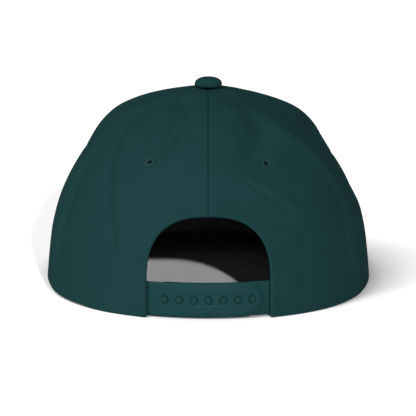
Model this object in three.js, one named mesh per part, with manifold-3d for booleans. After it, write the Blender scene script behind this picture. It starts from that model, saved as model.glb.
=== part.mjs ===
// Snapback cap: six cloth crown panels, a flat visor, a sweatband, a covered button, six embroidered
// eyelets and a plastic snap strap in two halves. Millimetres, +Z up. The wearer faces -Y, with the
// wearer's left at +X. Azimuths are degrees from the back (+Y) towards the wearer's left (+X).
import * as THREE from "three";
import { mergeVertices } from "three/addons/utils/BufferGeometryUtils.js";
import Module from "manifold-3d";

const wasm = await Module();
wasm.setup();

// Crown
const HALF_WIDTH = 89.5; // middle to side at the rim
const HALF_LENGTH = 97; // middle to front or back at the rim
const CROWN_HEIGHT = 110.5; // table to the outside of the cloth at the top
const CLOTH = 1.8; // wall of a panel, with its backing
const GAP = 0.3; // clearance between neighbouring pieces
const SEAM_RIDGE = 1.0; // how far a side seam stands proud
const SEAM_RIDGE_WIDTH = 5.5;
const FRONT_STEP = 1.6; // how far the stiff front stands proud of the soft side, and the side stands back

// Visor
const VISOR_REACH = 70; // front of the crown to the visor's edge
const VISOR_HALF_WIDTH = 86.5;
const VISOR_THICKNESS = 3.2;
const VISOR_CORNER = 114; // azimuth where the visor's corner meets the rim
const CORNER_LEAD = 6; // turn by which the rim reaches the visor's height before its corner
const VISOR_SLOPE = 0.125; // fall per length towards the front
const VISOR_BOW = 12; // how much lower the sides are than the middle
const VISOR_FULLNESS = 2.3; // exponent of the outline, 2 is an ellipse
const VISOR_SPRING = 16; // length in which the outline leaves the crown at a corner

// Sweatband
const BAND_HEIGHT = 34;
const BAND = 1.4;
const BAND_TUCK = 0.6; // bottom of the band above the rim

// Arch at the back
const ARCH_HALF_WIDTH = 32.8;
const ARCH_TOP = 53.4;
const ARCH_SPRING = 20; // height where its sides start to lean in
const ARCH_FULLNESS = 2.5;

// Snap strap
const STRAP_WIDTH = 18;
const STRAP = 1.4;
const STRAP_FOOT = 1.3; // lower edge above the table
const STRAP_RAISE = 0.3; // how much higher the inner half lies
const STRAP_TUCK = 16; // length of each end hidden between panel and band
const OUTER_TIP = 29; // middle of the cap to the outer half's tip
const INNER_TIP = 32;
const SNAP_COUNT = 7;
const SNAP_PITCH = 7.85;
const HOLE_RADIUS = 2.1;
const PEG_RADIUS = 1.75;
const PEG_PROUD = 0.6; // head of a peg above the outer half

// Button and eyelets
const BUTTON_RADIUS = 7.6;
const BUTTON_HEIGHT = 5.5;
const SHANK_RADIUS = 2.2;
const WASHER_RADIUS = 6;
const WASHER = 1;
const EYELET_RADIUS = 3.15;
const EYELET_HOLE = 1.1;
const EYELET_THREAD = 0.5; // thickness of the stitched ring

// Azimuths of the columns in SECTIONS
const STATIONS = { back: 0, backMid: 34, backSeam: 68, side: 95, frontSeam: 122, frontMid: 151, front: 180 };

// Sections of the crown: height as a share of the way from rim to top, radii as shares of the rim's
const SECTIONS = [
  { height: 0.0, back: 1.0, backMid: 1.0, backSeam: 1.0, side: 1.0, frontSeam: 1.0, frontMid: 1.0, front: 1.0 },
  { height: 0.12, back: 0.995, backMid: 0.995, backSeam: 0.992, side: 0.99, frontSeam: 0.992, frontMid: 0.988, front: 0.988 },
  { height: 0.28, back: 0.969, backMid: 0.968, backSeam: 0.962, side: 0.966, frontSeam: 0.962, frontMid: 0.965, front: 0.968 },
  { height: 0.45, back: 0.912, backMid: 0.909, backSeam: 0.904, side: 0.908, frontSeam: 0.889, frontMid: 0.918, front: 0.941 },
  { height: 0.6, back: 0.828, backMid: 0.823, backSeam: 0.818, side: 0.823, frontSeam: 0.868, frontMid: 0.893, front: 0.899 },
  { height: 0.74, back: 0.708, backMid: 0.702, backSeam: 0.702, side: 0.676, frontSeam: 0.779, frontMid: 0.808, front: 0.819 },
  { height: 0.86, back: 0.55, backMid: 0.543, backSeam: 0.543, side: 0.588, frontSeam: 0.616, frontMid: 0.637, front: 0.666 },
  { height: 0.95, back: 0.34, backMid: 0.33, backSeam: 0.308, side: 0.316, frontSeam: 0.362, frontMid: 0.376, front: 0.41 },
  { height: 1.0, back: 0.0, backMid: 0.0, backSeam: 0.0, side: 0.0, frontSeam: 0.0, frontMid: 0.0, front: 0.0 },
];

// Lift of the rim off the table behind the visor, as a share of CROWN_HEIGHT, at the wearer's left and right
const RIM = [
  { azimuth: 0, left: 0, right: 0 },
  { azimuth: 18, left: 0, right: 0 },
  { azimuth: 36, left: 0, right: 0 },
  { azimuth: 52, left: 0.01, right: 0.004 },
  { azimuth: 68, left: 0.018, right: 0.016 },
  { azimuth: 95, left: 0.062, right: 0.062 },
];

// Azimuths of the side seams by height share; the soft back hangs unevenly, so its two seams differ
const SEAMS = [
  { height: 0.0, backLeft: 70, backRight: 64, front: 119 },
  { height: 0.3, backLeft: 73, backRight: 63, front: 119 },
  { height: 0.5, backLeft: 75, backRight: 66, front: 120 },
  { height: 0.7, backLeft: 72, backRight: 57, front: 120 },
  { height: 0.85, backLeft: 75, backRight: 46, front: 120 },
  { height: 0.95, backLeft: 73, backRight: 48, front: 120 },
  { height: 1.0, backLeft: 66, backRight: 56, front: 120 },
];

// Dents (positive) and ridges (negative) of the cloth, each along a line down the crown: height shares of
// its ends, azimuths at top, middle and foot, and its width and depth as shares of HALF_WIDTH
const FOLDS = [
  { fold: "hollow beside the top, left", top: 0.98, foot: 0.78, topAt: 30, middleAt: 22.5, footAt: 23.5, width: 0.065, depth: 0.045 },
  { fold: "crease above the left eyelet", top: 0.91, foot: 0.76, topAt: 36, middleAt: 34, footAt: 33, width: 0.04, depth: 0.014 },
  { fold: "long crease of the left panel", top: 0.83, foot: 0.34, topAt: 59, middleAt: 44, footAt: 35, width: 0.05, depth: 0.018 },
  { fold: "short crease by the left seam", top: 0.5, foot: 0.33, topAt: 67, middleAt: 68, footAt: 69, width: 0.05, depth: 0.012 },
  { fold: "hollow beside the top, right", top: 0.94, foot: 0.7, topAt: -44, middleAt: -29, footAt: -20, width: 0.085, depth: 0.035 },
  { fold: "slanting ridge of the right panel", top: 0.64, foot: 0.49, topAt: -19, middleAt: -27, footAt: -36, width: 0.07, depth: -0.012 },
  { fold: "slanting hollow under that ridge", top: 0.58, foot: 0.44, topAt: -10, middleAt: -19, footAt: -28, width: 0.08, depth: 0.014 },
  { fold: "sag of the left side panel", top: 0.93, foot: 0.68, topAt: 95, middleAt: 100, footAt: 104, width: 0.16, depth: 0.024 },
  { fold: "sag of the right side panel", top: 0.95, foot: 0.66, topAt: -80, middleAt: -92, footAt: -102, width: 0.2, depth: 0.045 },
  { fold: "flat of the right side panel", top: 0.68, foot: 0.42, topAt: -92, middleAt: -88, footAt: -84, width: 0.34, depth: 0.018 },
  { fold: "flat of the right front shoulder", top: 0.96, foot: 0.62, topAt: -118, middleAt: -112, footAt: -106, width: 0.34, depth: 0.011 },
  { fold: "fullness of the left front shoulder", top: 0.96, foot: 0.62, topAt: 118, middleAt: 112, footAt: 100, width: 0.34, depth: -0.004 },
];

// One row for each panel: the seams at its two edges going round, its eyelet, and its columns of faces
const PANEL_ROWS = 16;
const PANELS = [
  { panel: "back_left", from: "middleBack", to: "backLeft", eyeletAt: 27, eyeletHeight: 0.716, across: 16 },
  { panel: "side_left", from: "backLeft", to: "frontLeft", eyeletAt: 98, eyeletHeight: 0.71, across: 9 },
  { panel: "front_left", from: "frontLeft", to: "middleFront", eyeletAt: 150, eyeletHeight: 0.74, across: 12 },
  { panel: "front_right", from: "middleFront", to: "frontRight", eyeletAt: 210, eyeletHeight: 0.74, across: 12 },
  { panel: "side_right", from: "frontRight", to: "backRight", eyeletAt: 268, eyeletHeight: 0.71, across: 9 },
  { panel: "back_right", from: "backRight", to: "middleBack", eyeletAt: 333, eyeletHeight: 0.716, across: 16 },
];

const RADIANS = Math.PI / 180;
const TOP_LEVEL = SECTIONS.length - 1;
const LEVELS = SECTIONS.map((row, level) => level);
const column = (table, name) => table.map((row) => row[name]);
const ease = (from, to, x) => THREE.MathUtils.smoothstep(x, from, to);
const gauss = (x) => Math.exp(-x * x);

// Signed turn from the back, -180 to 180
const signedTurn = (azimuth) => ((((azimuth + 180) % 360) + 360) % 360) - 180;

// Smooth curve through the points (xs, ys); before and after are the neighbours past its two ends
function curve(xs, ys, x, before, after) {
  const last = xs.length - 1;
  let k = 0;
  while (k < last - 1 && x >= xs[k + 1]) k += 1;
  const leftX = k > 0 ? xs[k - 1] : 2 * xs[0] - xs[1];
  const rightX = k + 2 <= last ? xs[k + 2] : 2 * xs[last] - xs[last - 1];
  const leftY = k > 0 ? ys[k - 1] : before;
  const rightY = k + 2 <= last ? ys[k + 2] : after;
  const width = xs[k + 1] - xs[k];
  const startSlope = ((ys[k + 1] - leftY) / (xs[k + 1] - leftX)) * width;
  const endSlope = ((rightY - ys[k]) / (rightX - xs[k])) * width;
  const u = (x - xs[k]) / width;
  const start = (2 * u ** 3 - 3 * u ** 2 + 1) * ys[k] + (u ** 3 - 2 * u ** 2 + u) * startSlope;
  return start + (3 * u ** 2 - 2 * u ** 3) * ys[k + 1] + (u ** 3 - u ** 2) * endSlope;
}

// Plan outline of the rim
const rimRadius = (azimuth) =>
  1 / Math.hypot(Math.sin(azimuth * RADIANS) / HALF_WIDTH, Math.cos(azimuth * RADIANS) / HALF_LENGTH);

const onPlan = (azimuth, radius) => [radius * Math.sin(azimuth * RADIANS), radius * Math.cos(azimuth * RADIANS)];

// Plan outline of the visor, from the left corner (0) round the front to the right corner (1); at each
// corner it springs from the crown's wall
const [CORNER_X, CORNER_Y] = onPlan(VISOR_CORNER, rimRadius(VISOR_CORNER));
function visorOutline(share) {
  const turn = share * Math.PI;
  const power = 2 / VISOR_FULLNESS;
  const side = Math.sign(Math.cos(turn));
  const fullX = VISOR_HALF_WIDTH * Math.abs(Math.cos(turn)) ** power;
  const y = CORNER_Y - (HALF_LENGTH + VISOR_REACH + CORNER_Y) * Math.abs(Math.sin(turn)) ** power;
  const spring = ease(-VISOR_SPRING, VISOR_SPRING, CORNER_Y - y);
  return [side * THREE.MathUtils.lerp(2 * CORNER_X - VISOR_HALF_WIDTH, fullX, spring), y];
}

// Top of the visor: it falls towards the front and to both sides, and its edge lies on the table
const visorFall = (x, y) => (y + HALF_LENGTH) * VISOR_SLOPE - VISOR_BOW * (x / VISOR_HALF_WIDTH) ** 2;
const edgeFalls = Array.from({ length: 181 }, (none, step) => visorFall(...visorOutline(step / 180)));
const VISOR_LIFT = VISOR_THICKNESS - Math.min(...edgeFalls);
const visorTop = (x, y) => VISOR_LIFT + visorFall(x, y);

// Height of the rim: flat on the table at the back, rising along the sides, then lying on the visor
const RIM_MEETS_VISOR = VISOR_CORNER - CORNER_LEAD;
const cornerRim = visorTop(...onPlan(RIM_MEETS_VISOR, rimRadius(RIM_MEETS_VISOR))) + GAP;
const rimAzimuths = [...column(RIM, "azimuth"), RIM_MEETS_VISOR];
const rimLifts = (side) => [...column(RIM, side).map((lift) => lift * CROWN_HEIGHT), cornerRim];
const [leftLifts, rightLifts] = [rimLifts("left"), rimLifts("right")];
function rimHeight(azimuth, x, y) {
  const turn = Math.abs(signedTurn(azimuth));
  if (turn >= RIM_MEETS_VISOR) return visorTop(x, y) + GAP;
  const lifts = signedTurn(azimuth) > 0 ? leftLifts : rightLifts;
  return Math.max(0, curve(rimAzimuths, lifts, turn, lifts[1], cornerRim));
}

// Height share of a level, and the level at a height share
const heights = column(SECTIONS, "height");
const heightShare = (level) => curve(LEVELS, heights, level, -heights[1], heights[TOP_LEVEL - 1]);
function levelAt(share) {
  let low = 0;
  let high = TOP_LEVEL;
  for (let step = 0; step < 30; step += 1) {
    const middle = (low + high) / 2;
    if (heightShare(middle) < share) low = middle;
    else high = middle;
  }
  return low;
}

// The crown without seams and folds
const stationAzimuths = Object.values(STATIONS);
const stationNames = Object.keys(STATIONS);
function smoothCrown(azimuth, level) {
  const shares = stationNames.map((name) => {
    const radii = column(SECTIONS, name);
    return curve(LEVELS, radii, level, 2 * radii[0] - radii[1], -radii[TOP_LEVEL - 1]);
  });
  const turn = Math.abs(signedTurn(azimuth));
  const share = curve(stationAzimuths, shares, turn, shares[1], shares[shares.length - 2]);
  const [x, y] = onPlan(azimuth, rimRadius(azimuth) * share);
  const rim = rimHeight(azimuth, ...onPlan(azimuth, rimRadius(azimuth)));
  return new THREE.Vector3(x, y, rim + heightShare(level) * (CROWN_HEIGHT - rim));
}

// Azimuth of a seam at a height share
function seamAzimuth(seam, share) {
  const along = (name) => {
    const azimuths = column(SEAMS, name);
    return curve(column(SEAMS, "height"), azimuths, share, azimuths[0], azimuths[azimuths.length - 1]);
  };
  if (seam === "middleBack") return 0;
  if (seam === "backLeft") return along("backLeft");
  if (seam === "frontLeft") return along("front");
  if (seam === "middleFront") return 180;
  if (seam === "frontRight") return 360 - along("front");
  return 360 - along("backRight");
}

// How far the folds push the cloth in at a place
function foldDepth(azimuth, share, radius) {
  let depth = 0;
  for (const row of FOLDS) {
    const place = (row.top - share) / (row.top - row.foot);
    const along = THREE.MathUtils.clamp(place, 0, 1);
    const line = row.topAt * (1 - along) * (1 - 2 * along) + 4 * row.middleAt * along * (1 - along)
      + row.footAt * along * (2 * along - 1);
    const bend = row.topAt * (4 * along - 3) + row.middleAt * (4 - 8 * along) + row.footAt * (4 * along - 1);
    const lean = (bend * RADIANS * radius) / ((row.top - row.foot) * CROWN_HEIGHT);
    const distance = (signedTurn(azimuth - line) * RADIANS * radius) / Math.hypot(1, lean);
    const fade = ease(-0.3, 0.2, place) * (1 - ease(0.8, 1.3, place)) * (1 - ease(0.955, 0.99, share));
    depth += row.depth * HALF_WIDTH * fade * gauss(distance / (row.width * HALF_WIDTH));
  }
  return depth;
}

// How far the seams push the cloth out at a place: a ridge along each side seam, and a step up to the front
function seamRise(azimuth, share, radius) {
  const fade = ease(0.02, 0.2, share) * (1 - ease(0.93, 0.99, share));
  const reach = (seam) => signedTurn(azimuth - seamAzimuth(seam, share)) * RADIANS * radius;
  const backSeams = gauss(reach("backLeft") / SEAM_RIDGE_WIDTH) + gauss(reach("backRight") / SEAM_RIDGE_WIDTH);
  const ahead = Math.min(reach("frontLeft"), -reach("frontRight"));
  const step = (ahead / (4 * SEAM_RIDGE_WIDTH)) * gauss(ahead / (4 * SEAM_RIDGE_WIDTH)) * 2.3;
  const stepFade = ease(0.35, 0.6, share) * (1 - ease(0.82, 0.93, share));
  return fade * SEAM_RIDGE * backSeams + stepFade * FRONT_STEP * step;
}

// Normal of the crown at a place, pointing out
function crownNormal(azimuth, level) {
  const nudge = 0.01;
  const here = Math.min(level, TOP_LEVEL - 2 * nudge);
  const alongTurn = smoothCrown(azimuth + nudge, here).sub(smoothCrown(azimuth - nudge, here));
  const upward = smoothCrown(azimuth, here + nudge).sub(smoothCrown(azimuth, Math.max(0, here - nudge)));
  return upward.cross(alongTurn).normalize();
}

// The crown's outer surface, or a surface a depth inside it
function crown(azimuth, level, depth = 0) {
  const point = smoothCrown(azimuth, level);
  const share = heightShare(level);
  const radius = Math.hypot(point.x, point.y);
  const normal = crownNormal(azimuth, level);
  if (level === 0) normal.setZ(0).normalize();
  const push = seamRise(azimuth, share, radius) - foldDepth(azimuth, share, radius) - depth;
  point.addScaledVector(normal, push);
  if (level === 0) point.z = rimHeight(azimuth, point.x, point.y);
  return point;
}

// Level where the crown has narrowed to a radius
function levelAtRadius(azimuth, radius) {
  let low = TOP_LEVEL - 1;
  let high = TOP_LEVEL;
  for (let step = 0; step < 30; step += 1) {
    const middle = (low + high) / 2;
    const point = smoothCrown(azimuth, middle);
    if (Math.hypot(point.x, point.y) > radius) low = middle;
    else high = middle;
  }
  return low;
}

// Closed wall between two grids of points of the same size, the outer one first; a grid's rows run
// round the cap towards +azimuth and its columns run up, or towards the back for a level surface
function wall(outer, inner) {
  const rows = outer.length;
  const columns = outer[0].length;
  const points = [...outer.flat(), ...inner.flat()];
  const positions = points.flatMap((point) => [point.x, point.y, point.z]);
  const at = (side, i, j) => side * rows * columns + i * columns + j;
  const faces = [];
  const quad = (a, b, c, d) => faces.push(a, b, c, a, c, d);
  for (let i = 0; i + 1 < rows; i += 1) {
    for (let j = 0; j + 1 < columns; j += 1) {
      quad(at(0, i, j), at(0, i, j + 1), at(0, i + 1, j + 1), at(0, i + 1, j));
      quad(at(1, i, j), at(1, i + 1, j), at(1, i + 1, j + 1), at(1, i, j + 1));
    }
  }
  for (let i = 0; i + 1 < rows; i += 1) {
    quad(at(0, i, 0), at(0, i + 1, 0), at(1, i + 1, 0), at(1, i, 0));
    quad(at(0, i, columns - 1), at(1, i, columns - 1), at(1, i + 1, columns - 1), at(0, i + 1, columns - 1));
  }
  for (let j = 0; j + 1 < columns; j += 1) {
    quad(at(0, 0, j), at(1, 0, j), at(1, 0, j + 1), at(0, 0, j + 1));
    quad(at(0, rows - 1, j), at(0, rows - 1, j + 1), at(1, rows - 1, j + 1), at(1, rows - 1, j));
  }
  const geometry = new THREE.BufferGeometry();
  geometry.setAttribute("position", new THREE.Float32BufferAttribute(positions, 3));
  geometry.setIndex(faces);
  return geometry;
}

const grid = (rows, columns, place) =>
  Array.from({ length: rows + 1 }, (none, i) =>
    Array.from({ length: columns + 1 }, (nothing, j) => place(i / rows, j / columns)));

// Solids for joining and cutting, and back to geometry
function toSolid(geometry) {
  const plain = geometry.clone();
  plain.deleteAttribute("normal");
  plain.deleteAttribute("uv");
  const merged = mergeVertices(plain, 1e-4);
  const mesh = new wasm.Mesh({
    numProp: 3,
    vertProperties: new Float32Array(merged.attributes.position.array),
    triVerts: new Uint32Array(merged.index.array),
  });
  return new wasm.Manifold(mesh);
}

function toGeometry(solid) {
  const mesh = solid.getMesh();
  const geometry = new THREE.BufferGeometry();
  geometry.setAttribute("position", new THREE.BufferAttribute(new Float32Array(mesh.vertProperties), 3));
  geometry.setIndex(new THREE.BufferAttribute(new Uint32Array(mesh.triVerts), 1));
  return geometry;
}

// Turns a geometry whose axis is +Y so that its axis follows a direction, and moves it to a point
function stand(geometry, point, direction) {
  const turn = new THREE.Quaternion().setFromUnitVectors(new THREE.Vector3(0, 1, 0), direction);
  return geometry.clone().applyQuaternion(turn).translate(point.x, point.y, point.z);
}

// A profile of radius and height turned about +Y
const turned = (profile, sides) =>
  new THREE.LatheGeometry(profile.map(([radius, height]) => new THREE.Vector2(radius, height)), sides);

// A flat outline in x and z, extruded along y between two places
function prism(shape, fromY, toY) {
  const geometry = new THREE.ExtrudeGeometry(shape, { depth: toY - fromY, bevelEnabled: false });
  return geometry.rotateX(Math.PI / 2).translate(0, toY, 0);
}

// The arch: straight sides up to its spring, then a full round top
function archShape() {
  const shape = new THREE.Shape();
  const steps = 28;
  shape.moveTo(ARCH_HALF_WIDTH, -CROWN_HEIGHT);
  for (let step = 0; step <= steps; step += 1) {
    const turn = (step / steps) * Math.PI;
    const power = 2 / ARCH_FULLNESS;
    const x = Math.sign(Math.cos(turn)) * ARCH_HALF_WIDTH * Math.abs(Math.cos(turn)) ** power;
    const rise = (ARCH_TOP - ARCH_SPRING) * Math.abs(Math.sin(turn)) ** power;
    shape.lineTo(x, ARCH_SPRING + rise);
  }
  shape.lineTo(-ARCH_HALF_WIDTH, -CROWN_HEIGHT);
  return shape;
}

// Stitched ring round a vent hole, its axis +Y, with a flange on each face of the cloth
function eyeletRing() {
  const outside = EYELET_THREAD;
  const inside = -CLOTH - EYELET_THREAD;
  const neck = EYELET_HOLE + EYELET_THREAD;
  const profile = [
    [EYELET_HOLE, inside], [EYELET_RADIUS, inside], [EYELET_RADIUS, -CLOTH], [neck, -CLOTH],
    [neck, 0], [EYELET_RADIUS, 0], [EYELET_RADIUS, outside], [EYELET_HOLE, outside], [EYELET_HOLE, inside],
  ];
  return turned(profile, 10);
}

// What is cut from the cloth for an eyelet: a neck through it and a flat seat for each flange
function eyeletSeat() {
  const neck = EYELET_HOLE + EYELET_THREAD + GAP;
  const flange = EYELET_RADIUS + GAP;
  const far = CLOTH * 3;
  const profile = [
    [0, -far], [flange, -far], [flange, -CLOTH + GAP], [neck, -CLOTH + GAP],
    [neck, -GAP], [flange, -GAP], [flange, far], [0, far],
  ];
  return turned(profile, 10);
}

const eyeletPlace = (row) => ({
  point: crown(row.eyeletAt, levelAt(row.eyeletHeight)),
  direction: crownNormal(row.eyeletAt, levelAt(row.eyeletHeight)),
});

// A crown panel: a cloth wall between two seams, cut for its eyelet and, at the back, for the arch
function panel(row) {
  const surface = (depth) => grid(row.across, PANEL_ROWS, (across, up) => {
    const middle = (seamAzimuth(row.from, 1) + (seamAzimuth(row.to, 1) || 360)) / 2;
    const level = up * levelAtRadius(middle, SHANK_RADIUS + GAP);
    const share = heightShare(level);
    const to = seamAzimuth(row.to, share) || 360;
    const plain = smoothCrown(middle, level);
    const seam = GAP / 2 / Math.hypot(plain.x, plain.y) / RADIANS;
    const from = seamAzimuth(row.from, share) + seam;
    return crown(from + across * (to - seam - from), level, depth);
  });
  let solid = toSolid(wall(surface(0), surface(CLOTH)));
  const { point, direction } = eyeletPlace(row);
  solid = solid.subtract(toSolid(stand(eyeletSeat(), point, direction)));
  if (row.panel.startsWith("back")) {
    solid = solid.subtract(toSolid(prism(archShape(), HALF_LENGTH / 3, HALF_LENGTH * 1.5)));
  }
  return toGeometry(solid);
}

// The visor: a board in cloth, from the inside of the crown's wall to its outline
function visor() {
  const surface = (drop) => grid(28, 4, (round, inward) => {
    const share = (1 - Math.cos(round * Math.PI)) / 2;
    const azimuth = VISOR_CORNER + share * (360 - 2 * VISOR_CORNER);
    const [innerX, innerY] = onPlan(azimuth, rimRadius(azimuth) - CLOTH + GAP);
    const [outerX, outerY] = visorOutline(share);
    const x = THREE.MathUtils.lerp(outerX, innerX, inward);
    const y = THREE.MathUtils.lerp(outerY, innerY, inward);
    return new THREE.Vector3(x, y, visorTop(x, y) - drop);
  });
  return wall(surface(0), surface(VISOR_THICKNESS));
}

// Depth of the strap's outer layer inside the crown, and azimuths of the arch's side and of a plan width
const STRAP_DEPTH = CLOTH + GAP;
const LAYER = STRAP + GAP;
const azimuthAcross = (x) => Math.asin(x / HALF_LENGTH) / RADIANS;
const ARCH_SIDE = azimuthAcross(ARCH_HALF_WIDTH);
const TUCK_TURN = STRAP_TUCK / HALF_LENGTH / RADIANS;

// Depth of the strap's inner half below the outer layer: it comes out to that layer past the outer half's tip
function innerHalfDepth(azimuth) {
  const clearOfTip = azimuthAcross(OUTER_TIP) + 0.5;
  return LAYER * (1 - ease(clearOfTip, ARCH_SIDE + TUCK_TURN * 0.7, -signedTurn(azimuth)));
}

// The sweatband: round the inside of the rim from one side of the arch to the other, set deeper where it
// covers the ends of the strap
function sweatband() {
  const surface = (extra) => grid(48, 3, (round, up) => {
    const start = ARCH_SIDE + 1;
    const azimuth = start + round * (360 - 2 * start);
    const turn = Math.abs(signedTurn(azimuth));
    const overEnds = LAYER * (1 - ease(ARCH_SIDE + TUCK_TURN + 1, ARCH_SIDE + 2 * TUCK_TURN, turn));
    const overStrap = overEnds + (signedTurn(azimuth) < 0 ? innerHalfDepth(azimuth) : 0);
    const foot = BAND_TUCK - (turn >= VISOR_CORNER ? VISOR_THICKNESS : 0);
    const rise = THREE.MathUtils.lerp(foot, BAND_HEIGHT, up);
    const point = crown(azimuth, levelAt(Math.max(0, rise) / CROWN_HEIGHT), CLOTH + GAP + overStrap + extra);
    if (up === 0) point.z = rimHeight(azimuth, point.x, point.y) + foot;
    return point;
  });
  return wall(surface(0), surface(BAND));
}

// One half of the strap: a ribbon along the rim at a depth that may change, cut to a round tip
function strapRibbon(fromTurn, toTurn, tipX, foot, depthAt) {
  const margin = STRAP_WIDTH / 2;
  const surface = (extra) => grid(26, 2, (round, up) => {
    const azimuth = fromTurn + round * (toTurn - fromTurn);
    const level = levelAt((foot + up * STRAP_WIDTH) / CROWN_HEIGHT);
    return crown(azimuth, level, depthAt(azimuth) + extra);
  });
  const outline = new THREE.Shape();
  const side = Math.sign(tipX);
  const tipCentre = tipX - side * margin;
  outline.moveTo(-side * HALF_WIDTH, foot - margin);
  outline.lineTo(tipCentre, foot - margin);
  outline.lineTo(tipCentre, foot);
  outline.absarc(tipCentre, foot + margin, margin, -Math.PI / 2, Math.PI / 2, side < 0);
  outline.lineTo(tipCentre, foot + STRAP_WIDTH + margin);
  outline.lineTo(-side * HALF_WIDTH, foot + STRAP_WIDTH + margin);
  return toSolid(wall(surface(0), surface(STRAP))).intersect(toSolid(prism(outline, 0, HALF_LENGTH * 1.5)));
}

// Places of the snaps, spread about the middle of the back
const snapTurns = Array.from({ length: SNAP_COUNT }, (none, index) =>
  azimuthAcross((index - (SNAP_COUNT - 1) / 2) * SNAP_PITCH));
const snapLevel = levelAt((STRAP_FOOT + STRAP_WIDTH / 2) / CROWN_HEIGHT);

// A round bar standing on the strap at a snap, from a depth inside the crown to another
function snapBar(azimuth, radius, fromDepth, toDepth) {
  const bar = new THREE.CylinderGeometry(radius, radius, fromDepth - toDepth, 12);
  const middle = crown(azimuth, snapLevel, (fromDepth + toDepth) / 2);
  return toSolid(stand(bar, middle, crownNormal(azimuth, snapLevel)));
}

// Outer half of the strap, held at the left side, with its holes
function strapHoles() {
  const start = ARCH_SIDE + TUCK_TURN;
  let solid = strapRibbon(-azimuthAcross(OUTER_TIP) - 1, start, -OUTER_TIP, STRAP_FOOT, () => STRAP_DEPTH);
  for (const turn of snapTurns) {
    solid = solid.subtract(snapBar(turn, HOLE_RADIUS, STRAP_DEPTH + 2 * STRAP, STRAP_DEPTH - STRAP));
  }
  return toGeometry(solid);
}

// Inner half of the strap, held at the right side: it lies a layer deeper under the outer half
function strapPegs() {
  const start = ARCH_SIDE + TUCK_TURN;
  const depthAt = (azimuth) => STRAP_DEPTH + innerHalfDepth(azimuth);
  const foot = STRAP_FOOT + STRAP_RAISE;
  let solid = strapRibbon(-start, azimuthAcross(INNER_TIP) + 1, INNER_TIP, foot, depthAt);
  for (const turn of snapTurns) {
    solid = solid.add(snapBar(turn, PEG_RADIUS, STRAP_DEPTH + LAYER + STRAP / 2, STRAP_DEPTH - PEG_PROUD));
  }
  return toGeometry(solid);
}

// The button: a covered dome on the crown, a shank through the hole where the panels meet, and a washer
function button() {
  const under = CROWN_HEIGHT + GAP;
  const inside = CROWN_HEIGHT - CLOTH - GAP;
  const domeSteps = 6;
  const profile = [
    new THREE.Vector2(0, inside - WASHER),
    new THREE.Vector2(WASHER_RADIUS, inside - WASHER * 1.3),
    new THREE.Vector2(WASHER_RADIUS, inside - WASHER * 0.5),
    new THREE.Vector2(SHANK_RADIUS, inside),
    new THREE.Vector2(SHANK_RADIUS, under),
    new THREE.Vector2(BUTTON_RADIUS * 0.8, under),
  ];
  for (let step = 0; step <= domeSteps; step += 1) {
    const turn = ((step / domeSteps) * 1.35 - 0.35) * (Math.PI / 2);
    const radius = BUTTON_RADIUS * Math.max(0, Math.cos(turn)) ** 0.8;
    const rise = BUTTON_HEIGHT * (0.3 + 0.7 * Math.sin(turn));
    profile.push(new THREE.Vector2(step === domeSteps ? 0 : radius, under + rise));
  }
  return new THREE.LatheGeometry(profile, 20).rotateX(Math.PI / 2);
}

const cloth = new THREE.MeshStandardMaterial({ color: 0x21403f, roughness: 0.95, metalness: 0 });
const plastic = new THREE.MeshStandardMaterial({ color: 0x234648, roughness: 0.45, metalness: 0 });
const lining = new THREE.MeshStandardMaterial({ color: 0x1a1c1d, roughness: 0.95, metalness: 0 });
const thread = new THREE.MeshStandardMaterial({ color: 0x24474a, roughness: 0.8, metalness: 0 });

const cap = new THREE.Group();
function place(name, geometry, material) {
  const mesh = new THREE.Mesh(geometry, material);
  mesh.name = name;
  cap.add(mesh);
}

for (const row of PANELS) {
  place(`panel_${row.panel}`, panel(row), cloth);
  const { point, direction } = eyeletPlace(row);
  place(`eyelet_${row.panel}`, stand(eyeletRing(), point, direction), thread);
}
place("visor", visor(), cloth);
place("sweatband", sweatband(), lining);
place("strap_holes", strapHoles(), plastic);
place("strap_pegs", strapPegs(), plastic);
place("top_button", button(), cloth);

// The cap's own origin: the middle of its bounding box, on the table
const box = new THREE.Box3().setFromObject(cap);
const middle = box.getCenter(new THREE.Vector3());
cap.position.set(-middle.x, -middle.y, -box.min.z);

const model = new THREE.Group();
model.add(cap);

export default model;
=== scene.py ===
"""A soft cloth snapback cap: six crown panels, visor, sweatband, button, eyelets and snap strap."""

import bpy
import numpy as np
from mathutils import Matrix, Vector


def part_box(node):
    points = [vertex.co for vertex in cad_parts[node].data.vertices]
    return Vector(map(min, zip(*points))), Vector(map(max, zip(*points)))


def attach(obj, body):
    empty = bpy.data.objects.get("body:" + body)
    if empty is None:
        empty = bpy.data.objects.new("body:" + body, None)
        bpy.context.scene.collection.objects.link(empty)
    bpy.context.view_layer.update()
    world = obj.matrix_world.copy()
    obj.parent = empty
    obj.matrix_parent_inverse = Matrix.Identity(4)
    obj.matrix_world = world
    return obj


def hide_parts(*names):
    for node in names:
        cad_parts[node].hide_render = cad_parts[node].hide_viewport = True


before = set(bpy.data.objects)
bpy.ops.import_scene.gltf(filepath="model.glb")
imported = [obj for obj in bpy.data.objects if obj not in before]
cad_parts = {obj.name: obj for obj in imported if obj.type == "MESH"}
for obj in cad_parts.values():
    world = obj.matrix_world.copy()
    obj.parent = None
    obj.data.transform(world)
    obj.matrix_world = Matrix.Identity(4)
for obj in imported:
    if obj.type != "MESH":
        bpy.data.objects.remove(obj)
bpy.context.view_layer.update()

# Crown surface
# Six cut panels of brushed twill are sewn into a dome. The two front ones are backed with stiff buckram,
# the four others are soft, so they hang in shallow hollows and creases between their seams.
MM = 0.001
HALF_WIDTH = 89.5
HALF_LENGTH = 97.0
CROWN_HEIGHT = 110.5
CLOTH = 1.8
GAP = 0.3
STATIONS = np.array([0, 34, 68, 95, 122, 151, 180], float)
SECTION_HEIGHTS = np.array([0, 0.12, 0.28, 0.45, 0.6, 0.74, 0.86, 0.95, 1.0])
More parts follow.
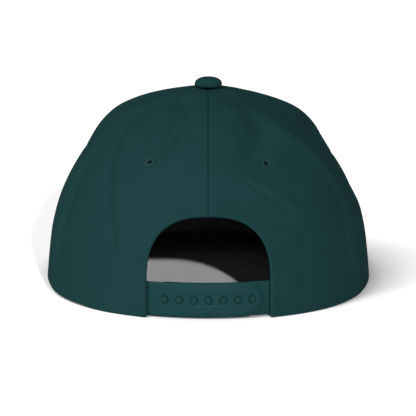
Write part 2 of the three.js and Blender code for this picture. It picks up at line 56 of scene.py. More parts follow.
SECTIONS = np.array([
    [1.0, 1.0, 1.0, 1.0, 1.0, 1.0, 1.0],
    [0.995, 0.995, 0.992, 0.99, 0.992, 0.988, 0.988],
    [0.969, 0.968, 0.962, 0.966, 0.962, 0.965, 0.968],
    [0.912, 0.909, 0.904, 0.908, 0.889, 0.918, 0.941],
    [0.828, 0.823, 0.818, 0.823, 0.868, 0.893, 0.899],
    [0.708, 0.702, 0.702, 0.676, 0.779, 0.808, 0.819],
    [0.55, 0.543, 0.543, 0.588, 0.616, 0.637, 0.666],
    [0.34, 0.33, 0.308, 0.316, 0.362, 0.376, 0.41],
    [0.0, 0.0, 0.0, 0.0, 0.0, 0.0, 0.0],
])
TOP_LEVEL = len(SECTION_HEIGHTS) - 1
LEVELS = np.arange(TOP_LEVEL + 1.0)
RIM_TURNS = np.array([0, 18, 36, 52, 68, 95, 108], float)
RIM_LEFT = np.array([0, 0, 0, 0.01, 0.018, 0.062]) * CROWN_HEIGHT
RIM_RIGHT = np.array([0, 0, 0, 0.004, 0.016, 0.062]) * CROWN_HEIGHT
SEAM_HEIGHTS = np.array([0, 0.3, 0.5, 0.7, 0.85, 0.95, 1.0])
SEAM_TURNS = {
    "back_left": np.array([70, 73, 75, 72, 75, 73, 66], float),
    "back_right": -np.array([64, 63, 66, 57, 46, 48, 56], float),
    "front_left": np.array([119, 119, 120, 120, 120, 120, 120], float),
    "front_right": -np.array([119, 119, 120, 120, 120, 120, 120], float),
}
# Each fold runs down the crown: height shares of its ends, azimuths at top, middle and foot, and its
# width and depth as shares of HALF_WIDTH, where a ridge has a negative depth
FOLDS = np.array([
    [0.98, 0.78, 30, 22.5, 23.5, 0.065, 0.045],
    [0.91, 0.76, 36, 34, 33, 0.04, 0.014],
    [0.83, 0.34, 59, 44, 35, 0.05, 0.018],
    [0.5, 0.33, 67, 68, 69, 0.05, 0.012],
    [0.94, 0.7, -44, -29, -20, 0.085, 0.035],
    [0.64, 0.49, -19, -27, -36, 0.07, -0.012],
    [0.58, 0.44, -10, -19, -28, 0.08, 0.014],
    [0.93, 0.68, 95, 100, 104, 0.16, 0.024],
    [0.95, 0.66, -80, -92, -102, 0.2, 0.045],
    [0.68, 0.42, -92, -88, -84, 0.34, 0.018],
    [0.96, 0.62, -118, -112, -106, 0.34, 0.011],
    [0.96, 0.62, 118, 112, 100, 0.34, -0.004],
])
VISOR_REACH = 70.0
VISOR_HALF_WIDTH = 86.5
VISOR_THICKNESS = 3.2
VISOR_CORNER = 114.0
VISOR_SLOPE = 0.125
VISOR_DROP = 12.0


def ease(low, high, x):
    """Smooth rise from 0 at low to 1 at high."""
    share = np.clip((x - low) / (high - low), 0, 1)
    return share * share * (3 - 2 * share)


def bell(x):
    """A bell curve, 1 at 0 and narrow beyond 1."""
    return np.exp(-x * x)


def turn_of(azimuth):
    """Azimuth as a signed turn from the back, -180 to 180 degrees."""
    return (azimuth + 180) % 360 - 180


def spread(knots, x):
    """Weights of the values at the knots, and of one more before and after them, on a smooth curve at x: a
    cubic between two knots whose slope at each knot is that of the line between the knot's neighbours."""
    x = np.asarray(x, float)
    flat = x.ravel()
    ends = np.concatenate([[2 * knots[0] - knots[1]], knots, [2 * knots[-1] - knots[-2]]])
    k = np.clip(np.searchsorted(knots, flat, side="right") - 1, 0, len(knots) - 2)
    width = knots[k + 1] - knots[k]
    t = (flat - knots[k]) / width
    start = (t ** 3 - 2 * t ** 2 + t) * width / (ends[k + 2] - ends[k])
    finish = (t ** 3 - t ** 2) * width / (ends[k + 3] - ends[k + 1])
    weights = np.zeros((flat.size, len(ends)))
    each = np.arange(flat.size)
    weights[each, k] -= start
    weights[each, k + 1] += 1 - 3 * t ** 2 + 2 * t ** 3 - finish
    weights[each, k + 2] += 3 * t ** 2 - 2 * t ** 3 + start
    weights[each, k + 3] += finish
    return weights.reshape(x.shape + (len(ends),))


def along(knots, values, x, before, after):
    """Smooth curve through the values at the knots."""
    return spread(knots, x) @ np.concatenate([[before], values, [after]])


def rim_radius(azimuth):
    """Plan outline of the rim: an ellipse by azimuth from the back."""
    angle = np.radians(azimuth)
    return 1 / np.hypot(np.sin(angle) / HALF_WIDTH, np.cos(angle) / HALF_LENGTH)


def on_plan(azimuth, radius):
    """Place in plan of a radius at an azimuth."""
    angle = np.radians(azimuth)
    return radius * np.sin(angle), radius * np.cos(angle)


def visor_outline(share):
    """Plan outline of the visor from its left corner to its right: a full ellipse whose ends spring from
    the crown's wall."""
    corner_x, corner_y = on_plan(VISOR_CORNER, rim_radius(VISOR_CORNER))
    turn = np.asarray(share) * np.pi
    power = 2 / 2.3
    full_x = VISOR_HALF_WIDTH * np.abs(np.cos(turn)) ** power
    y = corner_y - (HALF_LENGTH + VISOR_REACH + corner_y) * np.abs(np.sin(turn)) ** power
    spring = ease(-16, 16, corner_y - y)
    start_x = 2 * corner_x - VISOR_HALF_WIDTH
    return np.sign(np.cos(turn)) * (start_x + (full_x - start_x) * spring), y


def visor_fall(x, y):
    """How the visor's top falls towards the front and to both sides."""
    return (y + HALF_LENGTH) * VISOR_SLOPE - VISOR_DROP * (x / VISOR_HALF_WIDTH) ** 2


VISOR_LIFT = VISOR_THICKNESS - visor_fall(*visor_outline(np.linspace(0, 1, 181))).min()


def visor_top(x, y):
    """Height of the visor's top above the table."""
    return VISOR_LIFT + visor_fall(x, y)


def rim_height(azimuth):
    """Height of the rim: on the table at the back, rising along the sides, then lying on the visor."""
    turn = np.abs(turn_of(azimuth))
    meet = RIM_TURNS[-1]
    corner = visor_top(*on_plan(meet, rim_radius(meet))) + GAP
    left = np.append(RIM_LEFT, corner)
    right = np.append(RIM_RIGHT, corner)
    low_turn = np.minimum(turn, meet)
    low = np.where(
        turn_of(azimuth) > 0,
        along(RIM_TURNS, left, low_turn, left[1], corner),
        along(RIM_TURNS, right, low_turn, right[1], corner))
    on_visor = visor_top(*on_plan(azimuth, rim_radius(azimuth))) + GAP
    return np.where(turn >= meet, on_visor, np.maximum(0, low))


def height_at(level):
    """Height share of a level of the sections."""
    return along(LEVELS, SECTION_HEIGHTS, level, -SECTION_HEIGHTS[1], SECTION_HEIGHTS[-2])


FINE_LEVELS = np.linspace(0, TOP_LEVEL, 4001)
FINE_HEIGHTS = height_at(FINE_LEVELS)


def smooth_crown(azimuth, level):
    """The dome before seams and folds: sections smoothed upwards and round, scaled by the rim's ellipse."""
    table = np.vstack([2 * SECTIONS[0] - SECTIONS[1], SECTIONS, -SECTIONS[-2]])
    table = np.column_stack([table[:, 1], table, table[:, -2]])
    upward = spread(LEVELS, level)
    around = spread(STATIONS, np.abs(turn_of(azimuth)))
    share = np.einsum("...i,ij,...j->...", upward, table, around)
    x, y = on_plan(azimuth, rim_radius(azimuth) * share)
    rim = rim_height(azimuth)
    return np.stack([x, y, rim + height_at(level) * (CROWN_HEIGHT - rim)], -1)


def crown_radius(azimuth, height):
    """Radius in plan of the plain dome at an azimuth and a height share."""
    point = smooth_crown(azimuth, np.interp(height, FINE_HEIGHTS, FINE_LEVELS))
    return np.hypot(point[..., 0], point[..., 1])


def seam_turn(seam, height):
    """Azimuth of a seam at a height share."""
    if seam not in SEAM_TURNS:
        return np.full(np.shape(height), 0.0 if seam == "middle_back" else 180.0)
    turns = SEAM_TURNS[seam]
    return along(SEAM_HEIGHTS, turns, height, turns[0], turns[-1])


def fold_depth(azimuth, height, radius, folds):
    """How far the folds push the cloth in: each is a bell across a line that runs down the crown."""
    depth = np.zeros(np.shape(azimuth))
    for top, foot, at_top, at_middle, at_foot, width, deep in folds:
        place = (top - height) / (top - foot)
        t = np.clip(place, 0, 1)
        line = at_top * (1 - t) * (1 - 2 * t) + 4 * at_middle * t * (1 - t) + at_foot * t * (2 * t - 1)
        bend = at_top * (4 * t - 3) + at_middle * (4 - 8 * t) + at_foot * (4 * t - 1)
        lean = np.radians(bend) * radius / ((top - foot) * CROWN_HEIGHT)
        distance = np.radians(turn_of(azimuth - line)) * radius / np.hypot(1, lean)
        fade = ease(-0.3, 0.2, place) * (1 - ease(0.8, 1.3, place)) * (1 - ease(0.955, 0.99, height))
        depth += deep * HALF_WIDTH * fade * bell(distance / (width * HALF_WIDTH))
    return depth


def seam_reach(azimuth, height, radius, seam):
    """Signed distance round the crown from a seam, in millimetres, positive towards the wearer's left."""
    return np.radians(turn_of(azimuth - seam_turn(seam, height))) * radius


RIDGE_WIDTH = 5.5
STEP_WIDTH = 22.0
STEP_RISE = 1.6


def seam_rise(azimuth, height, radius):
    """How far the seams push the cloth out: a soft ridge along each back seam and a step up to the front."""
    fade = ease(0.02, 0.2, height) * (1 - ease(0.93, 0.99, height))
    back = [seam_reach(azimuth, height, radius, seam) for seam in ("back_left", "back_right")]
    ridges = bell(back[0] / RIDGE_WIDTH) + bell(back[1] / RIDGE_WIDTH)
    ahead = np.minimum(
        seam_reach(azimuth, height, radius, "front_left"),
        -seam_reach(azimuth, height, radius, "front_right"))
    step = ahead / STEP_WIDTH * bell(ahead / STEP_WIDTH) * 2.3
    step_fade = ease(0.35, 0.6, height) * (1 - ease(0.82, 0.93, height))
    return fade * ridges + step_fade * STEP_RISE * step


# Sharp creases of the soft panels, in the same columns as FOLDS
CREASES = np.array([
    [0.9, 0.76, 36.6, 35.0, 34.0, 0.014, 0.009],
    [0.84, 0.26, 61.0, 43.5, 32.6, 0.014, 0.0095],
    [0.64, 0.5, -15.0, -22.2, -30.2, 0.015, 0.012],
    [0.5, 0.32, 67, 68, 69, 0.013, 0.008],
    [0.47, 0.3, 64.5, 65.5, 66.5, 0.012, 0.006],
])
ARCH_HALF_WIDTH = 32.8
ARCH_TOP = 53.4
ARCH_SPRING = 20.0
ARCH_FULLNESS = 2.5
arch_turn = np.linspace(0, np.pi, 241)
arch_x = np.sign(np.cos(arch_turn)) * ARCH_HALF_WIDTH * np.abs(np.cos(arch_turn)) ** (2 / ARCH_FULLNESS)
arch_z = ARCH_SPRING + (ARCH_TOP - ARCH_SPRING) * np.abs(np.sin(arch_turn)) ** (2 / ARCH_FULLNESS)
ARCH_LINE = np.vstack([
    [[ARCH_HALF_WIDTH, z] for z in np.linspace(-2, ARCH_SPRING, 24)[:-1]],
    np.column_stack([arch_x, arch_z]),
    [[-ARCH_HALF_WIDTH, z] for z in np.linspace(ARCH_SPRING, -2, 24)[1:]],
])


def beside(line, distance):
    """A flat outline moved by a distance to the right of its run: each point goes along the line's normal."""
    step = np.gradient(line, axis=0)
    step /= np.linalg.norm(step, axis=1, keepdims=True)
    return line + distance * np.column_stack([step[:, 1], -step[:, 0]])


def reach_from(line, x, y):
    """Distance of flat points from an outline: the least over the outline's own points."""
    flat = np.column_stack([np.ravel(x), np.ravel(y)])
    least = np.empty(len(flat))
    batch = 3000
    for low in range(0, len(flat), batch):
        apart = flat[low:low + batch, None] - line[None]
        least[low:low + batch] = np.hypot(apart[..., 0], apart[..., 1]).min(1)
    return least.reshape(np.shape(x))


# Distances of the topstitched rows from their seam, from the arch's edge and from the rim
SEAM_ROW = 3.5
ARCH_ROW = 3.3
RIM_ROW = 3.4


def seam_relief(azimuth, height, radius):
    """Fine relief of the seams: the two turned edges dip into a groove, and the allowance pressed to both
    sides lifts a low band that ends in a row of stitches."""
    relief = np.zeros(np.shape(azimuth))
    stitch_dent = np.zeros(np.shape(azimuth))
    fade = 1 - ease(0.9, 0.985, height)
    for seam in ("middle_back", "middle_front", *SEAM_TURNS):
        reach = np.abs(seam_reach(azimuth, height, radius, seam))
        band = 0.24 if seam in ("back_left", "back_right") else 0.26
        groove = 0.42 * bell(reach / 0.4)
        relief = np.maximum(relief, band * ease(0.2, 1.4, reach) * (1 - ease(4.3, 6.6, reach)) * fade)
        stitch_dent += groove + 0.14 * bell((reach - SEAM_ROW) / 0.42) * fade
    return relief - stitch_dent


def hem_relief(point, height):
    """Fine relief of the turned hem at the arch and the rim: a raised double layer with a stitched dent."""
    behind = (point[..., 1] > 0) & (np.abs(point[..., 0]) < 60)
    reach = np.where(behind, reach_from(ARCH_LINE, point[..., 0], point[..., 2]), 99)
    arch = 0.38 * (1 - ease(3.4, 4.6, reach)) - 0.22 * bell((reach - ARCH_ROW) / 0.45)
    rise = height * CROWN_HEIGHT
    rim = 0.2 * (1 - ease(3.6, 5.2, rise)) - 0.2 * bell((rise - RIM_ROW) / 0.5)
    return arch + rim


EYELETS = {
    "back_left": (27, 0.716), "side_left": (98, 0.71), "front_left": (150, 0.74),
    "front_right": (210, 0.74), "side_right": (268, 0.71), "back_right": (333, 0.716),
}
EYELET_RADIUS = 3.15
EYELET_DENT = 0.42
EYELET_REACH = 9


def eyelet_relief(point):
    """How the dense stitching of an eyelet pulls the cloth in round its edge."""
    dent = np.zeros(point.shape[:-1])
    for place in EYELETS.values():
        middle = crown(*place, relief=False)[0]
        reach = np.linalg.norm(point - middle, axis=-1)
        dent -= EYELET_DENT * bell((reach - EYELET_RADIUS - 0.3) / 0.9) * (reach < EYELET_REACH)
    return dent


def crown(azimuth, height, depth=0.0, relief=True):
    """The crown's outer surface, or one a depth inside it: the dome pushed along its own normal by the
    seams and folds, and by the fine relief of stitching and hems."""
    azimuth, height = np.broadcast_arrays(np.asarray(azimuth, float), np.asarray(height, float))
    level = np.interp(height, FINE_HEIGHTS, FINE_LEVELS)
    nudge = 0.01
    here = np.minimum(level, TOP_LEVEL - 2 * nudge)
    round_step = smooth_crown(azimuth + nudge, here) - smooth_crown(azimuth - nudge, here)
    up_step = smooth_crown(azimuth, here + nudge) - smooth_crown(azimuth, np.maximum(0, here - nudge))
    normal = np.cross(up_step, round_step)
    normal /= np.linalg.norm(normal, axis=-1, keepdims=True)
    point = smooth_crown(azimuth, level)
    radius = np.hypot(point[..., 0], point[..., 1])
    push = seam_rise(azimuth, height, radius) - fold_depth(azimuth, height, radius, FOLDS) - depth
    if relief:
        push = push - fold_depth(azimuth, height, radius, CREASES)
        push = push + seam_relief(azimuth, height, radius) + hem_relief(point, height)
        push = push + eyelet_relief(point)
    rim_side = np.where(height < 1e-4, 0.0, 1.0)
    side_normal = normal * np.stack([np.ones_like(rim_side), np.ones_like(rim_side), rim_side], -1)
    side_normal /= np.linalg.norm(side_normal, axis=-1, keepdims=True)
    return point + side_normal * push[..., None], normal


# Panels
# Each panel is one thickness of twill, turned in along its seams and round the rim. The front pair is
# fused to black buckram inside; the pair at the back is cut away for the arch and hemmed there.
CENTRE_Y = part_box("visor")[0].y / MM + HALF_LENGTH + VISOR_REACH


def put_mesh(name, points, faces, uv, slots, face_slots=None):
    """A mesh piece from crown millimetres, with smooth faces, a UV map in millimetres and its materials."""
    mesh = bpy.data.meshes.new(name)
    placed = (np.asarray(points) + [0, CENTRE_Y, 0]) * MM
    mesh.from_pydata(placed.tolist(), [], [list(face) for face in faces])
    layer = mesh.uv_layers.new(name="cut")
    corners = np.empty(len(mesh.loops), np.int32)
    mesh.loops.foreach_get("vertex_index", corners)
    layer.data.foreach_set("uv", np.asarray(uv, np.float32)[corners].ravel())
    for material in slots:
        mesh.materials.append(material)
    if face_slots is not None:
        mesh.polygons.foreach_set("material_index", np.asarray(face_slots, np.int32))
    mesh.polygons.foreach_set("use_smooth", np.ones(len(mesh.polygons), bool))
    mesh.update()
    piece = bpy.data.objects.new(name, mesh)
    bpy.context.scene.collection.objects.link(piece)
    return piece


def wrapped(outer, inner, bulge, hole=None):
    """Closed wall between two grids: quads on both faces, and round the border a turned edge of five strips
    that bulges outwards. hole marks cells left out of both faces, which a short tunnel joins."""
    rows, columns = outer.shape[:2]
    i, j = np.meshgrid(np.arange(rows - 1), np.arange(columns - 1), indexing="ij")
    near = i * columns + j
    cell = np.stack([near, near + columns, near + columns + 1, near + 1], -1)
    keep = np.ones((rows - 1, columns - 1), bool) if hole is None else ~hole
    outer_faces = cell[keep]
    count = rows * columns
    inner_faces = outer_faces[:, ::-1] + count
    loop_i = np.concatenate([
        np.arange(rows - 1), np.full(columns - 1, rows - 1),
        np.arange(rows - 1, 0, -1), np.zeros(columns - 1, int)])
    loop_j = np.concatenate([
        np.zeros(rows - 1, int), np.arange(columns - 1),
        np.full(rows - 1, columns - 1), np.arange(columns - 1, 0, -1)])
    first, second = outer[loop_i, loop_j], inner[loop_i, loop_j]
    back_i = np.clip(loop_i, 1, rows - 2)
    back_j = np.clip(loop_j, 1, columns - 2)
    away = (first - outer[back_i, back_j]) + (second - inner[back_i, back_j])
    across = second - first
    flat = (away * across).sum(-1, keepdims=True) / np.maximum((across ** 2).sum(-1, keepdims=True), 1e-12)
    away = away - across * flat
    away /= np.maximum(np.linalg.norm(away, axis=-1, keepdims=True), 1e-9)
    sides = np.stack([
        np.where(loop_j == 0, bulge[0], 9), np.where(loop_i == rows - 1, bulge[1], 9),
        np.where(loop_j == columns - 1, bulge[2], 9), np.where(loop_i == 0, bulge[3], 9)])
    reach = sides.min(0)[:, None]
    turns = np.linspace(0, np.pi, 6)[1:-1]
    rings = [first + across * (1 - np.cos(a)) / 2 + away * reach * np.sin(a) for a in turns]
    around = len(loop_i)
    ids = [loop_i * columns + loop_j]
    ids += [2 * count + k * around + np.arange(around) for k in range(len(turns))]
    ids += [loop_i * columns + loop_j + count]
    strips = []
    for one, two in zip(ids[:-1], ids[1:]):
        strips.append(np.stack([np.roll(one, -1), one, two, np.roll(two, -1)], -1))
    faces = [outer_faces, inner_faces, np.concatenate(strips)]
    if hole is not None and hole.any():
        edges = np.concatenate([cell[hole][:, [a, (a + 1) % 4]] for a in range(4)])
        both = {tuple(edge) for edge in edges.tolist()}
        border = np.array([edge for edge in edges.tolist() if (edge[1], edge[0]) not in both])
        faces.append(np.stack([border[:, 0], border[:, 1], border[:, 1] + count, border[:, 0] + count], -1))
    points = np.concatenate([outer.reshape(-1, 3), inner.reshape(-1, 3), *rings])
    middle = outer[rows // 2, columns // 2]
    above, beyond = outer[rows // 2 + 1, columns // 2], outer[rows // 2, columns // 2 + 1]
    normal = np.cross(above - middle, beyond - middle)
    if normal @ (middle - inner[rows // 2, columns // 2]) < 0:
        faces = [part[:, ::-1] for part in faces]
    slots = np.concatenate([np.full(len(part), int(k == 1)) for k, part in enumerate(faces)])
    border_of = np.concatenate([np.arange(count), np.arange(count)] + [ids[0]] * len(turns))
    return points, np.concatenate(faces), slots, border_of


def closing(count, gather):
    """Places from 0 to 1 that close up towards both ends, by taking part of a sine wave off even steps."""
    even = np.linspace(0, 1, count)
    return even - gather * np.sin(2 * np.pi * even) / (2 * np.pi)


def run_length(line):
    """Length along a line of points up to each of them."""
    return np.concatenate([[0], np.cumsum(np.linalg.norm(np.diff(line, axis=0), axis=1))])


def at_length(line, length, values):
    """Values given at a line's points, read at lengths along it."""
    total = run_length(line)
    return np.column_stack([np.interp(length, total, column) for column in values.T])


# The cloth's length up to each height share is taken up the middle of a back panel
BACK_MIDDLE = 34.0
MERIDIAN_SHARES = np.linspace(0, 0.9995, 1200)
MERIDIAN_LENGTHS = run_length(smooth_crown(
    np.full(1200, BACK_MIDDLE), np.interp(MERIDIAN_SHARES, FINE_HEIGHTS, FINE_LEVELS)))
PANEL_LENGTH = MERIDIAN_LENGTHS[-1]


def share_at(length):
    """Height share at a length of cloth above the rim."""
    return np.interp(length, MERIDIAN_LENGTHS, MERIDIAN_SHARES)


def cut_uv(azimuth, height, middle):
    """Place on the flat cut panel, in millimetres: across from its middle line, and up from the rim."""
    across = np.radians(turn_of(azimuth - middle)) * crown_radius(azimuth, height)
    return np.stack([across, np.interp(height, MERIDIAN_SHARES, MERIDIAN_LENGTHS)], -1)


PANEL_SEAMS = {
    "side_left": ("back_left", "front_left"), "front_left": ("front_left", "middle_front"),
    "front_right": ("middle_front", "front_right"), "side_right": ("front_right", "back_right"),
}


def new_material(name, roughness, specular):
    """A material of one Principled shader; returns it with its node tree and its shader."""
    material = bpy.data.materials.new(name)
    material.use_nodes = True
    shader = material.node_tree.nodes["Principled BSDF"]
    shader.inputs["Roughness"].default_value = roughness
    shader.inputs["Specular IOR Level"].default_value = specular
    return material, material.node_tree, shader


def node(tree, kind, **values):
    """A new node of a tree; values name its properties, or its inputs by their place."""
    made = tree.nodes.new(kind)
    for key, value in values.items():
        if key.startswith("in_"):
            made.inputs[int(key[3:])].default_value = value
        else:
            setattr(made, key, value)
    return made


def maths(tree, operation, *feeds, **settings):
    """A maths node fed by sockets or plain numbers; returns its output."""
    made = node(tree, "ShaderNodeMath", operation=operation, **settings)
    for place, feed in enumerate(feeds):
        if isinstance(feed, bpy.types.NodeSocket):
            tree.links.new(feed, made.inputs[place])
        else:
            made.inputs[place].default_value = feed
    return made.outputs[0]


def two_tones(tree, share, dark, light):
    """A colour between two tones, by a share that varies over the surface; returns its socket."""
    tone = node(tree, "ShaderNodeMix", data_type="RGBA")
    for place, feed in ((0, share), (6, dark), (7, light)):
        if isinstance(feed, bpy.types.NodeSocket):
            tree.links.new(feed, tone.inputs[place])
        else:
            tone.inputs[place].default_value = (*feed, 1)
    return tone.outputs[2]


def bumped(tree, shader, height, strength, distance):
    """Gives a shader the normal of a bump that stands a distance high, in metres."""
    bump = node(tree, "ShaderNodeBump")
    bump.inputs["Strength"].default_value = strength
    bump.inputs["Distance"].default_value = distance
    tree.links.new(height, bump.inputs["Height"])
    tree.links.new(bump.outputs[0], shader.inputs["Normal"])


def twill_material(name, colour, thread, roughness, sheen, pitch=0.62):
    """Brushed twill: diagonal ribs on the cut's own UV, a fine cross weave, slubs and a slight unevenness."""
    material, tree, shader = new_material(name, roughness, 0.012)
    weave = node(tree, "ShaderNodeGroup", node_tree=twill)
    weave.inputs["Cloth"].default_value = (*colour, 1)
    weave.inputs["Thread"].default_value = (*thread, 1)
    weave.inputs["Pitch"].default_value = pitch
    weave.inputs["Roughness"].default_value = roughness
    tree.links.new(weave.outputs["Colour"], shader.inputs["Base Color"])
    tree.links.new(weave.outputs["Roughness"], shader.inputs["Roughness"])
    bumped(tree, shader, weave.outputs["Height"], 0.35, 0.08 * MM)
    shader.inputs["Sheen Weight"].default_value = sheen
    shader.inputs["Sheen Roughness"].default_value = 0.4
    shader.inputs["Sheen Tint"].default_value = (0.2, 0.8, 0.85, 1)
    return material


twill = bpy.data.node_groups.new("twill", "ShaderNodeTree")
for label, kind, start in (
        ("Cloth", "NodeSocketColor", (0.02, 0.06, 0.065, 1)),
        ("Thread", "NodeSocketColor", (0.03, 0.08, 0.085, 1)),
        ("Pitch", "NodeSocketFloat", 0.62),
        ("Roughness", "NodeSocketFloat", 0.85)):
    socket = twill.interface.new_socket(name=label, in_out="INPUT", socket_type=kind)
    socket.default_value = start
for label, kind in (
        ("Colour", "NodeSocketColor"), ("Roughness", "NodeSocketFloat"), ("Height", "NodeSocketFloat")):
    twill.interface.new_socket(name=label, in_out="OUTPUT", socket_type=kind)
feed = twill.nodes.new("NodeGroupInput")
result = twill.nodes.new("NodeGroupOutput")
cut = node(twill, "ShaderNodeUVMap", uv_map="cut")
split = node(twill, "ShaderNodeSeparateXYZ")
twill.links.new(cut.outputs[0], split.inputs[0])
wander = node(twill, "ShaderNodeTexNoise", noise_dimensions="2D", in_2=0.35, in_3=2.0)
twill.links.new(cut.outputs[0], wander.inputs["Vector"])
drift = maths(twill, "MULTIPLY", wander.outputs[0], 0.5)
slope = maths(twill, "MULTIPLY", split.outputs[0], 0.82)
slope = maths(twill, "ADD", slope, maths(twill, "MULTIPLY", split.outputs[1], 0.57))
rib_place = maths(twill, "DIVIDE", maths(twill, "ADD", slope, drift), feed.outputs["Pitch"])
rib = maths(twill, "SINE", maths(twill, "MULTIPLY", rib_place, 2 * np.pi))
float_slope = maths(twill, "SUBTRACT", maths(twill, "MULTIPLY", split.outputs[0], 1.1), split.outputs[1])
float_place = maths(twill, "DIVIDE", float_slope, feed.outputs["Pitch"])
yarn = maths(twill, "SINE", maths(twill, "MULTIPLY", float_place, 11.0))
fuzz = node(twill, "ShaderNodeTexNoise", noise_dimensions="2D", in_2=6.0, in_3=3.0, in_4=0.65)
twill.links.new(cut.outputs[0], fuzz.inputs["Vector"])
stretched = node(twill, "ShaderNodeMapping")
stretched.inputs["Scale"].default_value = (2.6, 0.16, 1)
twill.links.new(cut.outputs[0], stretched.inputs["Vector"])
slub = node(twill, "ShaderNodeTexNoise", noise_dimensions="2D", in_2=1.0, in_3=3.0)
twill.links.new(stretched.outputs[0], slub.inputs["Vector"])
cloud = node(twill, "ShaderNodeTexNoise", noise_dimensions="2D", in_2=0.045, in_3=3.0)
twill.links.new(cut.outputs[0], cloud.inputs["Vector"])
relief = maths(twill, "ADD", maths(twill, "MULTIPLY", rib, 0.5), maths(twill, "MULTIPLY", yarn, 0.16))
relief = maths(twill, "ADD", relief, maths(twill, "MULTIPLY", fuzz.outputs[0], 0.9))
twill.links.new(relief, result.inputs["Height"])
lit = maths(twill, "MULTIPLY_ADD", rib, 0.16, 0.28)
lit = maths(twill, "ADD", lit, maths(twill, "MULTIPLY_ADD", slub.outputs[0], 0.7, -0.35))
lit = maths(twill, "ADD", lit, maths(twill, "MULTIPLY_ADD", cloud.outputs[0], 0.5, -0.25), use_clamp=True)
tone = two_tones(twill, lit, feed.outputs["Cloth"], feed.outputs["Thread"])
twill.links.new(tone, result.inputs["Colour"])
worn = maths(twill, "MULTIPLY_ADD", fuzz.outputs[0], 0.1, -0.05)
twill.links.new(maths(twill, "ADD", feed.outputs["Roughness"], worn), result.inputs["Roughness"])

crown_twill = twill_material("crown_twill", (0.0063, 0.0252, 0.0268), (0.0097, 0.0353, 0.0371), 0.95, 0.004)
inner_twill = twill_material("inner_twill", (0.009, 0.031, 0.034), (0.013, 0.041, 0.044), 0.95, 0.02)
# Painted light: the buckram itself is black, but its colour here is lifted to a dark grey. The lift stands in
# for light in the shaded inside of the crown, not for the cloth's own colour.
buckram = twill_material("buckram_grey_painted_light", (0.12, 0.12, 0.121), (0.18, 0.18, 0.181), 0.95, 0.02, pitch=1.3)


EYELET_CUT = 1.75


def eyelet_hole(outer, label):
    """Cells of a grid that an eyelet's hole takes out: those whose middle is near the eyelet."""
    middle = crown(*EYELETS[label])[0]
    centre = (outer[:-1, :-1] + outer[1:, 1:] + outer[1:, :-1] + outer[:-1, 1:]) / 4
    return np.linalg.norm(centre - middle, axis=-1) < EYELET_CUT


def finish_panel(label, azimuth, height, middle, bulge, lining):
    """A panel from the azimuths and height shares of its grid."""
    outer, _ = crown(azimuth, height)
    inner, _ = crown(azimuth, height, depth=CLOTH - 0.1, relief=False)
    uv = cut_uv(azimuth, height, middle).reshape(-1, 2)
    points, faces, slots, source = wrapped(outer, inner, bulge, eyelet_hole(outer, label))
    piece = put_mesh(f"cloth_{label}", points, faces, uv[source], [crown_twill, lining], slots)
    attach(piece, "root")
    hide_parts(f"panel_{label}")
    return piece


# Half the gap between two panels, how far the rim and the arch's edge are rolled, and where the tips end
SEAM_GAP = 0.01
RIM_ROLL = 0.6
ARCH_ROLL = 0.75
TIP_LENGTH = PANEL_LENGTH - 2.6
BACK_TIP_LENGTH = PANEL_LENGTH - 0.8
for label, (seam, next_seam) in PANEL_SEAMS.items():
    lengths = RIM_ROLL + closing(132, 0.55) * (TIP_LENGTH - RIM_ROLL)
    height = share_at(lengths)[:, None]
    start = seam_turn(seam, height)
    finish = seam_turn(next_seam, height)
    if seam == "middle_front":
        start = start - 360
    seam_gap = np.degrees(SEAM_GAP / crown_radius(start, height))
    place = closing(128, 0.78)[None]
    azimuth = start + seam_gap + place * (finish - start - 2 * seam_gap)
    middle = float((start[40, 0] + finish[40, 0]) / 2)
    lining = buckram if label.startswith("front") else inner_twill
    finish_panel(label, azimuth, height + 0 * azimuth, middle, (0.0, 0.0, 0.0, RIM_ROLL), lining)


def to_sheet(azimuth, height):
    """The crown's cloth flattened round the top: length down from the top, at its azimuth."""
    down = PANEL_LENGTH - np.interp(height, MERIDIAN_SHARES, MERIDIAN_LENGTHS)
    angle = np.radians(azimuth)
    return np.stack([down * np.sin(angle), down * np.cos(angle)], -1)


def from_sheet(place):
    """Azimuth and height share of a place on the flattened cloth."""
    down = np.linalg.norm(place, axis=-1)
    return np.degrees(np.arctan2(place[..., 0], place[..., 1])), share_at(PANEL_LENGTH - down)


def evenly(line, places):
    """Points at shares of a line's length."""
    return at_length(line, places * run_length(line)[-1], line)


def seen_from_behind(goal_x, goal_z):
    """Azimuths and height shares of the places on the crown's back that stand over points of the back view:
    each point is moved until the surface there has that x and z."""
    azimuth = np.degrees(np.arcsin(goal_x / HALF_LENGTH))
    height = goal_z / CROWN_HEIGHT
    for _ in range(12):
        point = crown(azimuth, height, relief=False)[0]
        radius = np.hypot(point[:, 0], point[:, 1])
        azimuth = azimuth + np.degrees((goal_x - point[:, 0]) / radius / np.cos(np.radians(azimuth)))
        height = np.clip(height + (goal_z - point[:, 2]) / CROWN_HEIGHT, 0, 1)
    return azimuth, height


